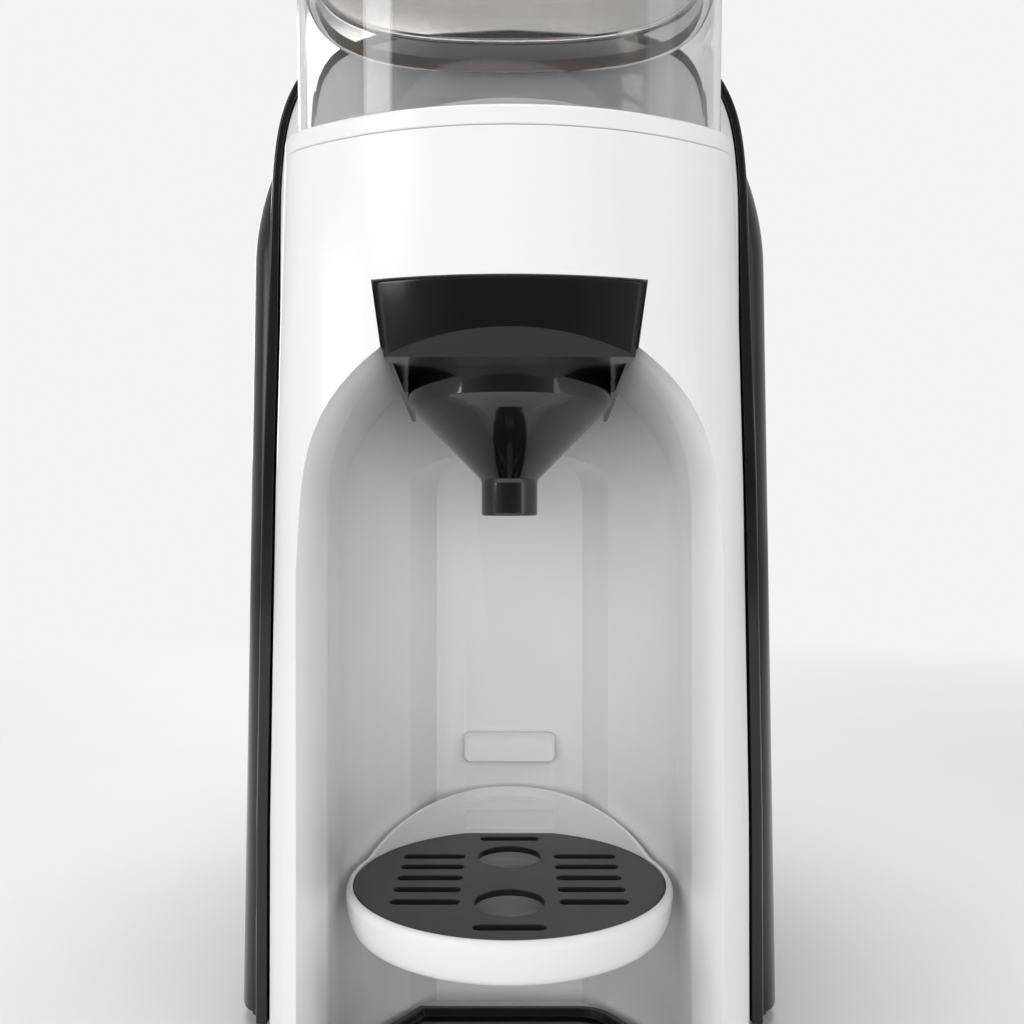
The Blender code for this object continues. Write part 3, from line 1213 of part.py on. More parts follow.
def build_funnel(finish):
    """Build the funnel, which hangs in the drawer's plate by its lip."""
    lip_bottom = DRAWER_BOTTOM + DRAWER_PLATE + GAP
    rim = lip_bottom + FUNNEL_RIM_RISE
    shoulder = DRAWER_BOTTOM - FUNNEL_SKIRT
    cone_top = shoulder - FUNNEL_SHOULDER
    cone_bottom = cone_top - FUNNEL_CONE_HEIGHT
    spout = cone_bottom - SPOUT_LENGTH
    slant = FUNNEL_WALL * 0.7
    outer = [
        (FUNNEL_RADIUS, rim),
        (FUNNEL_RADIUS, lip_bottom + FUNNEL_LIP),
        (FUNNEL_RADIUS + FUNNEL_LIP, lip_bottom + FUNNEL_LIP),
        (FUNNEL_RADIUS + FUNNEL_LIP, lip_bottom),
        (FUNNEL_RADIUS, lip_bottom),
        (FUNNEL_RADIUS, shoulder),
        (FUNNEL_CONE_RADIUS, cone_top),
        (SPOUT_RADIUS, cone_bottom),
        (SPOUT_RADIUS, spout),
    ]
    inner = [
        (SPOUT_RADIUS - FUNNEL_WALL, spout),
        (SPOUT_RADIUS - FUNNEL_WALL, cone_bottom + slant),
        (FUNNEL_CONE_RADIUS - FUNNEL_WALL, cone_top + slant),
        (FUNNEL_RADIUS - FUNNEL_WALL, shoulder + slant),
        (FUNNEL_RADIUS - FUNNEL_WALL, rim),
    ]
    profile = list(reversed(outer + inner))
    return mesh_object("funnel", *turned(profile, FINE_STEPS, (0, BAY_Y)), finish, (0, BAY_Y, DRAWER_BOTTOM))


def grate_slot(centre, length):
    """Return the outline of one slot with round ends, running along X."""
    half = length / 2 - GRATE_SLOT_WIDTH / 2
    right = arc((centre[0] + half, centre[1]), GRATE_SLOT_WIDTH / 2, -math.pi / 2, math.pi / 2, 3)
    left = arc((centre[0] - half, centre[1]), GRATE_SLOT_WIDTH / 2, math.pi / 2, 3 * math.pi / 2, 3)
    return right + left


def tray_rim_height(angle):
    """Return the tray rim's height at an angle round the tray: level in front, rising towards the back."""
    behind = TRAY_RADIUS * math.sin(angle) - TRAY_BACK_START
    return TRAY_RIM_Z + TRAY_BACK_RISE * max(behind / (TRAY_RADIUS - TRAY_BACK_START), 0)


def tray_bowl():
    """Return the tray's bowl as a solid, with a shelf for the grate inside its rim."""
    inner = TRAY_RADIUS - TRAY_RIM
    shelf_z = TRAY_RIM_Z - GRATE_DROP - GRATE_THICKNESS - GAP
    shoulder = TRAY_RADIUS - (TRAY_RADIUS - TRAY_FOOT_RADIUS) / 3
    low = [
        (TRAY_FOOT_RADIUS, TRAY_BOTTOM),
        (shoulder, TRAY_BOTTOM + TRAY_HEIGHT / 4),
        (TRAY_RADIUS, TRAY_RIM_Z - TRAY_RIM),
    ]
    high = [
        (inner, shelf_z),
        (inner - TRAY_SHELF, shelf_z),
        (TRAY_FOOT_RADIUS - TRAY_FLOOR, TRAY_BOTTOM + TRAY_FLOOR),
    ]
    rings = [[(x, y, height) for x, y in circle(radius, FINE_STEPS, (0, BAY_Y))] for radius, height in low]
    for radius in (TRAY_RADIUS, inner):
        ring = []
        for i, (x, y) in enumerate(circle(radius, FINE_STEPS, (0, BAY_Y))):
            ring.append((x, y, tray_rim_height(math.tau * i / FINE_STEPS)))
        rings.append(ring)
    rings += [[(x, y, height) for x, y in circle(radius, FINE_STEPS, (0, BAY_Y))] for radius, height in high]
    return loft(rings)


def build_tray(finish):
    """Build the drip tray with its raised back and the hook that goes over a ledge."""
    centre = (0, BAY_Y)
    tray = mesh_object("drip_tray", *tray_bowl(), finish, (*centre, TRAY_RIM_Z))
    half = LEDGE_WIDTH / 2 + GAP + HOOK_WALL
    front_y = CHANNEL_BACK_Y - LEDGE_DEPTH - GAP - HOOK_WALL
    top = LOWER_LEDGE_TOP + GAP + HOOK_WALL
    radius = TRAY_RADIUS - TRAY_RIM / 2
    start = math.acos(half / radius)
    outline = [(half, front_y)] + arc(centre, radius, start, math.pi - start, ARC_STEPS) + [(-half, front_y)]
    join(tray, prism(outline, TRAY_BOTTOM + TRAY_FLOOR / 2, top), "tray_hook")
    pocket = block(
        (-half + HOOK_WALL, front_y + HOOK_WALL, TRAY_BOTTOM - OVERRUN),
        (half - HOOK_WALL, BAY_Y + TRAY_RADIUS + OVERRUN, top - HOOK_WALL),
    )
    cut(tray, pocket, "hook_pocket")
    return tray


def build_tray_grate(finish):
    """Build the slotted plate that lies in the tray."""
    radius = TRAY_RADIUS - TRAY_RIM - GAP
    top = TRAY_RIM_Z - GRATE_DROP
    bottom = top - GRATE_THICKNESS
    grate = mesh_object(
        "tray_grate", *prism(circle(radius, FINE_STEPS, (0, BAY_Y)), bottom, top), finish, (0, BAY_Y, bottom)
    )
    openings = []
    for side in (-1, 1):
        openings.append(circle(GRATE_HOLE_RADIUS, ROUND_STEPS, (0, BAY_Y + side * GRATE_HOLE_OFFSET)))
        openings.append(grate_slot((0, BAY_Y + side * GRATE_END_SLOT_OFFSET), GRATE_SLOT_LENGTH))
    middle = GRATE_SLOT_START + GRATE_SLOT_LENGTH / 2
    for row in range(-2, 3):
        for side in (-1, 1):
            openings.append(grate_slot((side * middle, BAY_Y + row * GRATE_SLOT_PITCH), GRATE_SLOT_LENGTH))
    cut(grate, merged(*[prism(outline, bottom - GAP, top + GAP) for outline in openings]), "grate_openings")
    hook_front = CHANNEL_BACK_Y - LEDGE_DEPTH - 2 * GAP - HOOK_WALL
    half = LEDGE_WIDTH / 2 + 2 * GAP + HOOK_WALL
    cut(grate, block((-half, hook_front, bottom - GAP), (half, CHANNEL_BACK_Y, top + GAP)), "grate_notch")
    return grate


def tank_region(front_y, bottom, top):
    """Return a box that holds the tank's part of the rear form."""
    return block((-WIDTH, front_y, bottom), (WIDTH, REAR_Y + OVERRUN, top))


def build_water_tank(finish, lid_finish):
    """Build the water tank behind the spine, and its lid."""
    above = 2 * REAR_CORNER_Z
    front = TANK_FRONT_Y + GAP
    outside = rear_form(0, REAR_FRONT_Y, HOUSING_BOTTOM)
    tank = mesh_object("water_tank", *outside, finish, (0, VALVE_Y, TANK_BOTTOM))
    keep_inside(tank, tank_region(front, TANK_BOTTOM, TANK_TOP_Z), "tank_region")
    water = mesh_object("tank_water", *rear_form(TANK_WALL, REAR_FRONT_Y, HOUSING_BOTTOM))
    water_region = tank_region(front + TANK_WALL, TANK_BOTTOM + TANK_FLOOR, TANK_TOP_Z + OVERRUN)
    keep_inside(water, water_region, "water_region")
    cut(tank, water, "tank_hollow")
    hole = circle(VALVE_RADIUS + GAP, ROUND_STEPS, (0, VALVE_Y))
    cut(tank, prism(hole, TANK_BOTTOM - OVERRUN, TANK_BOTTOM + TANK_FLOOR + OVERRUN), "valve_hole")
    lid_z = TANK_TOP_Z + GAP
    lid = mesh_object("tank_lid", *outside, lid_finish, (0, VALVE_Y, lid_z))
    keep_inside(lid, tank_region(front, lid_z, above), "lid_region")
    under = mesh_object("lid_under", *rear_form(TANK_WALL, REAR_FRONT_Y, HOUSING_BOTTOM))
    keep_inside(under, tank_region(front + TANK_WALL, lid_z - OVERRUN, above), "under_region")
    cut(lid, under, "lid_under_cut")
    return tank


def build_tank_valve(plastic, dark, steel, rubber):
    """Build the spring valve in the tank's floor: body, plunger, seal and spring."""
    centre = (0, VALVE_Y)
    floor_top = TANK_BOTTOM + TANK_FLOOR + GAP
    top = floor_top + VALVE_FLANGE_THICKNESS
    bottom = TANK_BOTTOM - VALVE_DROP
    bore = STEM_RADIUS + STEM_CLEARANCE
    shelf = top - VALVE_SHELF
    body = [
        (bore, top),
        (bore, shelf),
        (VALVE_BORE, shelf),
        (VALVE_BORE, bottom),
        (VALVE_RADIUS, bottom),
        (VALVE_RADIUS, floor_top),
        (VALVE_RADIUS + VALVE_FLANGE, floor_top),
        (VALVE_RADIUS + VALVE_FLANGE, top),
    ]
    mesh_object("valve_body", *turned(body, ROUND_STEPS, centre), plastic, (*centre, bottom))
    seal_z = top + GAP
    seal_top = seal_z + VALVE_SEAL_HEIGHT
    seal = [
        (PLUNGER_HEAD_RADIUS - GAP - VALVE_SEAL_WIDTH, seal_z),
        (PLUNGER_HEAD_RADIUS - GAP, seal_z),
        (PLUNGER_HEAD_RADIUS - GAP, seal_top),
        (PLUNGER_HEAD_RADIUS - GAP - VALVE_SEAL_WIDTH, seal_top),
    ]
    mesh_object("valve_seal", *turned(seal, ROUND_STEPS, centre), rubber, (*centre, seal_z))
    head_z = seal_top + GAP
    foot_z = bottom + GAP
    plunger = [
        (0, foot_z),
        (PLUNGER_FOOT_RADIUS, foot_z),
        (PLUNGER_FOOT_RADIUS, foot_z + PLUNGER_FOOT),
        (STEM_RADIUS, foot_z + PLUNGER_FOOT),
        (STEM_RADIUS, head_z),
        (PLUNGER_HEAD_RADIUS, head_z),
        (PLUNGER_HEAD_RADIUS, head_z + PLUNGER_HEAD),
        (0, head_z + PLUNGER_HEAD),
    ]
    mesh_object("valve_plunger", *turned(plunger, SMALL_STEPS, centre), dark, (*centre, foot_z))
    spring_low = foot_z + PLUNGER_FOOT + GAP + SPRING_WIRE
    spring_high = shelf - GAP - SPRING_WIRE
    points = []
    for step in range(SPRING_TURNS * 10 + 1):
        turn = math.tau * step / 10
        z = spring_low + (spring_high - spring_low) * step / (SPRING_TURNS * 10)
        points.append((SPRING_RADIUS * math.cos(turn), VALVE_Y + SPRING_RADIUS * math.sin(turn), z))
    tube("valve_spring", points, SPRING_WIRE, steel, 0)
    least_gap = (spring_high - spring_low) / SPRING_TURNS - 2 * SPRING_WIRE
    print("valve spring: least gap between turns, mm:", round(least_gap / MM, 2))


def tube(name, points, radius, finish, resolution=2):
    """Return a round bar or hose along the points, with closed ends."""
    curve = bpy.data.curves.new(name, "CURVE")
    curve.dimensions = "3D"
    curve.bevel_depth = radius
    curve.bevel_resolution = resolution
    curve.use_fill_caps = True
    line = curve.splines.new("POLY")
    line.points.add(len(points) - 1)
    for place, point in zip(line.points, points):
        place.co = (*point, 1)
    curve.materials.append(finish)
    item = bpy.data.objects.new(name, curve)
    bpy.context.scene.collection.objects.link(item)
    return item


def smooth_route(points, steps=3):
    """Return a smooth curve through the route's points, with its first and last stretch straight."""
    knots = [Vector(p) for p in points]
    route = [knots[0]]
    for a, b, c, d in zip(knots, knots[1:], knots[2:], knots[3:]):
        for step in range(steps):
            t = step / steps
            square = 2 * a - 5 * b + 4 * c - d
            cube = 3 * b - a - 3 * c + d
            route.append(0.5 * (2 * b + (c - a) * t + square * t**2 + cube * t**3))
    return route + knots[-2:]


def build_inlet_socket(finish):
    """Build the socket in the tank's deck that receives the valve and feeds the inlet hose."""
    centre = (0, VALVE_Y)
    bore = VALVE_RADIUS + GAP
    outer = VALVE_RADIUS + SOCKET_WALL - GAP
    flange_top = TANK_DECK_Z - REAR_WALL - GAP
    flange_bottom = flange_top - SOCKET_WALL
    floor = TANK_DECK_Z - SOCKET_DEPTH
    bottom = floor - SOCKET_WALL
    pin_top = TANK_BOTTOM - VALVE_DROP
    profile = [
        (0, bottom),
        (outer, bottom),
        (outer, flange_bottom),
        (outer + SOCKET_FLANGE, flange_bottom),
        (outer + SOCKET_FLANGE, flange_top),
        (outer, flange_top),
        (outer, TANK_DECK_Z),
        (bore, TANK_DECK_Z),
        (bore, floor),
        (SOCKET_PIN_RADIUS, floor),
        (SOCKET_PIN_RADIUS, pin_top),
        (0, pin_top),
    ]
    socket = mesh_object("inlet_socket", *turned(profile, ROUND_STEPS, centre), finish, (*centre, bottom))
    port = (SOCKET_PORT_OFFSET, VALVE_Y)
    pipe = circle(PORT_RADIUS, SMALL_STEPS, port)
    join(socket, prism(pipe, bottom - SOCKET_PORT, bottom + SOCKET_WALL / 2), "socket_port")
    way = circle(PORT_RADIUS / 2, SMALL_STEPS, port)
    cut(socket, prism(way, bottom - SOCKET_PORT - OVERRUN, floor + SOCKET_WALL), "socket_way")
    return (*port, bottom - SOCKET_PORT)


def build_pump(finish):
    """Build the water pump on the base cover, and return the places of its two ports."""
    low = BASE_TOP + GAP
    size_x, size_y, size_z = PUMP_SIZE
    body = rounded_rectangle(size_x / 2, size_y / 2, PUMP_EDGE, 3, (PUMP_X, PUMP_Y))
    pump = mesh_object("water_pump", *prism(body, low, low + size_z), finish, (PUMP_X, PUMP_Y, low))
    return add_ports(pump, (PUMP_X, PUMP_Y), PUMP_PORT_SPACING, low + size_z)


def build_heater(finish):
    """Build the water heater on the base cover, and return the places of its two ports."""
    low = BASE_TOP + GAP
    body = [
        (0, low),
        (HEATER_RADIUS, low),
        (HEATER_RADIUS, low + HEATER_HEIGHT - PORT_RADIUS),
        (HEATER_RADIUS - PORT_RADIUS, low + HEATER_HEIGHT),
        (0, low + HEATER_HEIGHT),
    ]
    centre = (HEATER_X, HEATER_Y)
    heater = mesh_object("water_heater", *turned(body, ROUND_STEPS, centre), finish, (*centre, low))
    return add_ports(heater, centre, HEATER_PORT_SPACING, low + HEATER_HEIGHT)


def add_ports(item, centre, spacing, top):
    """Add two hose ports on top of a piece, one behind the other, and return their mouths."""
    mouths = []
    for name, side in (("rear_port", 1), ("front_port", -1)):
        place = (centre[0], centre[1] + side * spacing / 2)
        join(item, prism(circle(PORT_RADIUS, SMALL_STEPS, place), top - PORT_RADIUS, top + PORT_HEIGHT), name)
        mouths.append((*place, top + PORT_HEIGHT))
    return mouths


def bend_points(start, end, bends):
    """Return points off the line between two places: the share of the way and the shift in hose radii."""
    points = []
    for share, across, along, lift in bends:
        points.append(start.lerp(end, share) + HOSE_RADIUS * Vector((across, along, lift)))
    return points


def hose(name, start, middle, end, finish):
    """Build a hose that leaves both its ends straight, in the given directions."""
    first = start[0] + start[1]
    last = end[0] + end[1]
    route = [start[0], first, *middle(first, last), last, end[0]]
    return tube(name, smooth_route(route), HOSE_RADIUS, finish)


def inlet_bends(first, last):
    """Return the inlet hose's bends, from the tank's socket to the pump."""
    return bend_points(first, last, INLET_BEND_SHARES)


def pump_bends(first, last):
    """Return the pump hose's bends, from the pump to the heater."""
    return bend_points(first, last, PUMP_BEND_SHARES)


def outlet_bends(first, last):
    """Return the outlet hose's bends: under the tank's deck, up the spine and over the drawer's guide."""
    spine_y = (REAR_FRONT_Y + TANK_FRONT_Y) / 2
    foot = Vector((HEATER_X + HOSE_SIDE, TANK_FRONT_Y - HOSE_DROP, TANK_DECK_Z - HOSE_DROP))
    low = Vector((HOSE_RISE_X, spine_y, TANK_DECK_Z))
    high = Vector((HOSE_RISE_X / 2, spine_y - HOSE_RADIUS, CEILING_TOP - HOSE_RADIUS))
    under = bend_points(first, foot, DECK_BEND_SHARES)
    up = bend_points(low, high, SPINE_BEND_SHARES)
    over = bend_points(high, last, HEAD_BEND_SHARES)
    return [*under, foot, *up, high, *over]


def build_hoses(finish, socket_mouth, pump_mouths, heater_mouths):
    """Build the three hoses: tank to pump, pump to heater, heater to nozzle."""
    gap = Vector((0, 0, GAP))
    run = Vector((0, 0, 2 * HOSE_RADIUS))
    mouths = [Vector(mouth) + gap for mouth in (*pump_mouths, *heater_mouths)]
    pump_in, pump_out, heater_out, heater_in = mouths
    nozzle = Vector((-NOZZLE_SIDE, NOZZLE_Y, CEILING_TOP + NOZZLE_HEIGHT)) + gap
    socket = (Vector(socket_mouth) - gap, -run)
    hose("inlet_hose", socket, inlet_bends, (pump_in, run), finish)
    hose("pump_hose", (pump_out, run), pump_bends, (heater_in, run), finish)
    hose("outlet_hose", (heater_out, run), outlet_bends, (nozzle, run), finish)


def build_main_board(board_finish):
    """Build the circuit board on four standoffs against the spine's back wall."""
    wall_y = TANK_FRONT_Y - REAR_WALL - GAP
    half_x = BOARD_SIZE[0] / 2
    half_z = BOARD_SIZE[2] / 2
    back_y = wall_y - BOARD_STANDOFF
    front_y = back_y - BOARD_SIZE[1]
    board = mesh_object(
        "main_board",
        *block((BOARD_X - half_x, front_y, BOARD_Z - half_z), (BOARD_X + half_x, back_y, BOARD_Z + half_z)),
        board_finish,
        (BOARD_X, back_y, BOARD_Z),
    )
    for index, (side, end) in enumerate(((1, 1), (-1, 1), (-1, -1), (1, -1))):
        place = (BOARD_X + side * (half_x - BOARD_EDGE), BOARD_Z + end * (half_z - BOARD_EDGE))
        foot = circle(BOARD_STANDOFF_RADIUS, SMALL_STEPS, place)
        join(board, prism(foot, back_y - BOARD_SIZE[1] / 2, wall_y, "Y"), f"standoff_{index + 1}")
    across, along = BOARD_LAYOUT_SHARES
    chip_x = BOARD_X + half_x * across
    chip_z = BOARD_Z + half_z * along
    chip = block(
        (chip_x - CHIP_HALF, front_y - CHIP_HEIGHT, chip_z - CHIP_HALF),
        (chip_x + CHIP_HALF, front_y + BOARD_SIZE[1] / 2, chip_z + CHIP_HALF),
    )
    join(board, chip, "chip")
    for index, side in enumerate((-1, 1)):
        relay_x = BOARD_X + side * half_x * across
        relay_z = BOARD_Z - half_z * along
        relay = block(
            (relay_x - RELAY_HALF_WIDTH, front_y - RELAY_HEIGHT, relay_z - RELAY_HALF_HEIGHT),
            (relay_x + RELAY_HALF_WIDTH, front_y + BOARD_SIZE[1] / 2, relay_z + RELAY_HALF_HEIGHT),
        )
        join(board, relay, f"relay_{index + 1}")
    return board


def build_power_inlet(finish):
    """Build the two-pin mains inlet in the back wall."""
    centre = (0, INLET_Z)
    face_y = REAR_Y - GAP
    body = rounded_rectangle(INLET_HALF_WIDTH, INLET_HALF_HEIGHT, INLET_WALL, 3, centre)
    block_body = prism(body, REAR_Y - INLET_DEPTH, face_y, "Y")
    inlet = mesh_object("power_inlet", *block_body, finish, (0, face_y, INLET_Z))
    flange_y = REAR_Y - REAR_WALL - GAP
    reach = (INLET_HALF_WIDTH + INLET_FLANGE, INLET_HALF_HEIGHT + INLET_FLANGE)
    flange = rounded_rectangle(*reach, INLET_WALL, 3, centre)
    join(inlet, prism(flange, flange_y - INLET_FLANGE_THICKNESS, flange_y, "Y"), "inlet_flange")
    inner = (INLET_HALF_WIDTH - INLET_WALL, INLET_HALF_HEIGHT - INLET_WALL)
    mouth = rounded_rectangle(*inner, INLET_WALL, 3, centre)
    recess = mesh_object("inlet_recess", *prism(mouth, face_y - INLET_RECESS, face_y + OVERRUN, "Y"))
    for name, side in (("left_pin", -1), ("right_pin", 1)):
        pin = circle(INLET_PIN_RADIUS, SMALL_STEPS // 2, (side * INLET_PIN_SPACING / 2, INLET_Z))
        cut(recess, prism(pin, face_y - INLET_RECESS - OVERRUN, face_y - INLET_WALL, "Y"), name)
    cut(inlet, recess, "inlet_recess_cut")
    return inlet


def control_frame():
    """Return the control panel's own frame on the head's right side: x backwards, y up, z outwards."""
    start, along, outward = side_line(head_half_width(PANEL_CENTRE_Z))
    place = start + along * ((FRONT_Y + PANEL_CENTRE_DEPTH - start.y) / along.y)
    back = Vector((along.x, along.y, 0))
    up = Vector((-2 * HEAD_NARROWING * PANEL_CENTRE_Z / HEAD_TOP**2, 0, 1))
    out = back.cross(up).normalized()
    up = out.cross(back).normalized()
    frame = Matrix((back, up, out)).transposed().to_4x4()
    frame.translation = (place.x, place.y, PANEL_CENTRE_Z)
    return frame


def in_frame(solid, frame):
    """Return a solid moved into a frame."""
    vertices, faces = solid
    return [tuple(frame @ Vector(v)) for v in vertices], faces


def control_outline(inset):
    """Return the control panel's outline in its own frame, moved inwards."""
    return rounded_rectangle(CONTROL_HALF_DEPTH - inset, CONTROL_HALF_HEIGHT - inset, CONTROL_CORNER, 3)


def control_recess():
    """Return the stepped opening in the head's side that the control panel fits in."""
    wide = prism(control_outline(-GAP), -CONTROL_SEAT, OVERRUN)
    narrow = prism(control_outline(CONTROL_THICKNESS - GAP), -HOUSING_WALL - OVERRUN / 2, -CONTROL_SEAT)
    rings = [narrow[0][: len(narrow[0]) // 2], narrow[0][len(narrow[0]) // 2 :]]
    rings += [wide[0][: len(wide[0]) // 2], wide[0][len(wide[0]) // 2 :]]
    return in_frame(loft(rings), control_frame())


def button_places():
    """Return each button's name with its place on the panel and its radius."""
    places = []
    for row, height in enumerate((BUTTON_ROW_TOP, BUTTON_ROW_TOP - BUTTON_PITCH)):
        for column, side in enumerate((-1, 1)):
            place = (side * BUTTON_PITCH / 2, height)
            places.append((f"button_{2 * row + column + 1}", place, BUTTON_RADIUS))
    places.append(("start_button", (0, -START_DROP), START_RADIUS))
    return places


def build_control_panel(dark, glass, light):
    """Build the control panel with its display and its push buttons."""
    frame = control_frame()
    origin = frame.translation
    face = -CONTROL_RECESS
    plate = prism(control_outline(0), -CONTROL_SEAT + GAP, face)
    panel = mesh_object("control_panel", *in_frame(plate, frame), dark, origin)
    behind = -CONTROL_SEAT - CONTROL_THICKNESS
    inner = prism(control_outline(CONTROL_THICKNESS), behind, (face - CONTROL_SEAT) / 2)
    join(panel, in_frame(inner, frame), "panel_back")
    half_a, half_b = DISPLAY_HALF_DEPTH, DISPLAY_HALF_HEIGHT
    middle = (0, DISPLAY_RISE)
    window = rounded_rectangle(half_a, half_b, BUTTON_PROUD, 2, middle)
    wider = rounded_rectangle(half_a + GAP, half_b + GAP, BUTTON_PROUD, 2, middle)
    seat = face - DISPLAY_THICKNESS - GAP
    cut(panel, in_frame(prism(wider, seat, OVERRUN), frame), "display_recess")
    display = prism(window, seat + GAP, face)
    mesh_object("display_window", *in_frame(display, frame), glass, frame @ Vector((0, DISPLAY_RISE, face)))
    holes = []
    back = -CONTROL_SEAT - CONTROL_THICKNESS
    for name, place, radius in button_places():
        holes.append(prism(circle(radius + BUTTON_CLEARANCE, ROUND_STEPS, place), back - GAP, OVERRUN))
        top = face + BUTTON_PROUD
        flange = back - BUTTON_CLEARANCE
        profile = [
            (0, flange - BUTTON_STEM / 2),
            (radius + BUTTON_PROUD, flange - BUTTON_STEM / 2),
            (radius + BUTTON_PROUD, flange),
            (radius, flange),
            (radius, top - BUTTON_PROUD / 3),
            (radius - BUTTON_PROUD / 3, top),
            (0, top),
        ]
        button = turned(profile, ROUND_STEPS, place)
        mesh_object(name, *in_frame(button, frame), light, frame @ Vector((*place, top)))
    cut(panel, in_frame(merged(*holes), frame), "button_holes")
    return panel


def main():
    """Build every piece."""
    clear_scene()
    white = make_material("white_gloss_plastic", (0.86, 0.855, 0.84), 0.28)
    tray_white = make_material("tray_white_plastic", (0.87, 0.865, 0.855), 0.3)
    black = make_material("black_gloss_plastic", (0.012, 0.012, 0.014), 0.12)
    trim_black = make_material("trim_black_plastic", (0.02, 0.02, 0.022), 0.25)
    rear_dark = make_material("rear_dark_plastic", (0.05, 0.052, 0.055), 0.2)
    smoke = make_material("smoky_clear_plastic", (0.16, 0.16, 0.17), 0.08, alpha=0.5)
    clear = make_material("clear_plastic", (0.85, 0.86, 0.88), 0.05, alpha=0.3)
    lid_grey = make_material("lid_grey_plastic", (0.2, 0.19, 0.18), 0.3)
    grate_grey = make_material("grate_grey_plastic", (0.045, 0.045, 0.048), 0.35)
    cream = make_material("translucent_seal_silicone", (0.6, 0.55, 0.48), 0.5)
    nylon = make_material("natural_nylon", (0.75, 0.74, 0.7), 0.45)
    charcoal = make_material("charcoal_plastic", (0.06, 0.06, 0.065), 0.5)
    steel = make_material("plain_steel", (0.56, 0.57, 0.58), 0.35, 1.0)
    brass = make_material("brass", (0.7, 0.53, 0.25), 0.35, 1.0)
    rubber = make_material("black_rubber", (0.02, 0.02, 0.02), 0.8)
    silicone = make_material("clear_silicone_hose", (0.75, 0.76, 0.76), 0.4)
    green = make_material("green_circuit_board", (0.02, 0.16, 0.07), 0.4)
    glass = make_material("display_glass", (0.01, 0.015, 0.02), 0.05)
    grey = make_material("button_grey_plastic", (0.55, 0.56, 0.57), 0.4)

    build_front_housing(white)
    build_bay_liner(white)
    build_channel_panel(white)
    build_drawer_guide(white)
    build_deck_ring(white)
    build_arch_panel(white)
    build_frame_trim(trim_black)
    build_rear_housing(rear_dark)
    build_base_cover(charcoal)
    build_screws(steel)
    build_feet(rubber)
    build_floor_plate(trim_black)

    build_powder_container(clear)
    build_container_lid(lid_grey, cream)
    build_stirring_wheel(nylon)
    build_powder_drive(nylon, charcoal, steel, brass)
    build_powder_chute(nylon)
    build_funnel_drawer(black)
    build_funnel(black)
    build_water_nozzle(steel)

    build_tray(tray_white)
    build_tray_grate(grate_grey)

    build_water_tank(smoke, rear_dark)
    build_tank_valve(nylon, charcoal, steel, rubber)
    socket_mouth = build_inlet_socket(charcoal)
    pump_mouths = build_pump(charcoal)
    heater_mouths = build_heater(steel)
    build_hoses(silicone, socket_mouth, pump_mouths, heater_mouths)

    build_main_board(green)
    build_power_inlet(charcoal)
    build_control_panel(black, glass, grey)


if __name__ == "__main__":
    main()
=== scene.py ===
"""Looks of a countertop machine that mixes powder and warm water into a feeding bottle.

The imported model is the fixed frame: each piece built here rides on one of its bodies and most
stand for one of its nodes. Shapes are worked out in millimetres and written in metres.
"""

from __future__ import annotations

import json
import logging
import math
from collections.abc import Callable, Iterable, Sequence
from dataclasses import dataclass, field
from enum import Enum

import bmesh
import bpy
from mathutils import Matrix, Vector

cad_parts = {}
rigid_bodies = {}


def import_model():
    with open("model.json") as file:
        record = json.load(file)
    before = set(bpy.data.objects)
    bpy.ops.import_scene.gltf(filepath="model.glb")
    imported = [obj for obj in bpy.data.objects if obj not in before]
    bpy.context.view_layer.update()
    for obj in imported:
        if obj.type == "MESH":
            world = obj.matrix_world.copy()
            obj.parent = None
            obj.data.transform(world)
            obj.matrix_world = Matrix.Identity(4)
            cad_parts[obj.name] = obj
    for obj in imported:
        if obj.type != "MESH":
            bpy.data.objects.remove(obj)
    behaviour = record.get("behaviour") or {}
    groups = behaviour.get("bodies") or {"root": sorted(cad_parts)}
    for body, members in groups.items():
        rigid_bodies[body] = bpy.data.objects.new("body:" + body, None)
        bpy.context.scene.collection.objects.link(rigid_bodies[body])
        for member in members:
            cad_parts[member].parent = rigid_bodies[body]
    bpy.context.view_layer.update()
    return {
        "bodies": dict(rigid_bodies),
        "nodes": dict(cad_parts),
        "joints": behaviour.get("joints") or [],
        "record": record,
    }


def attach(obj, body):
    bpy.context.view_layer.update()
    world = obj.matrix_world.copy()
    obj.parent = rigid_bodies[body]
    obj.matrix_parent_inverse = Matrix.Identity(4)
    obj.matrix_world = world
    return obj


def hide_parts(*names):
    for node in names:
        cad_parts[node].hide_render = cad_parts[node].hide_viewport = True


MM = 0.001
LOG = logging.getLogger("formula_maker")

Point2 = tuple[float, float]
Point3 = tuple[float, float, float]
Ring = list[Point3]
Solid = tuple[list[Point3], list[list[int]]]


# Shader maths ----------------------------------------------------------------------------------


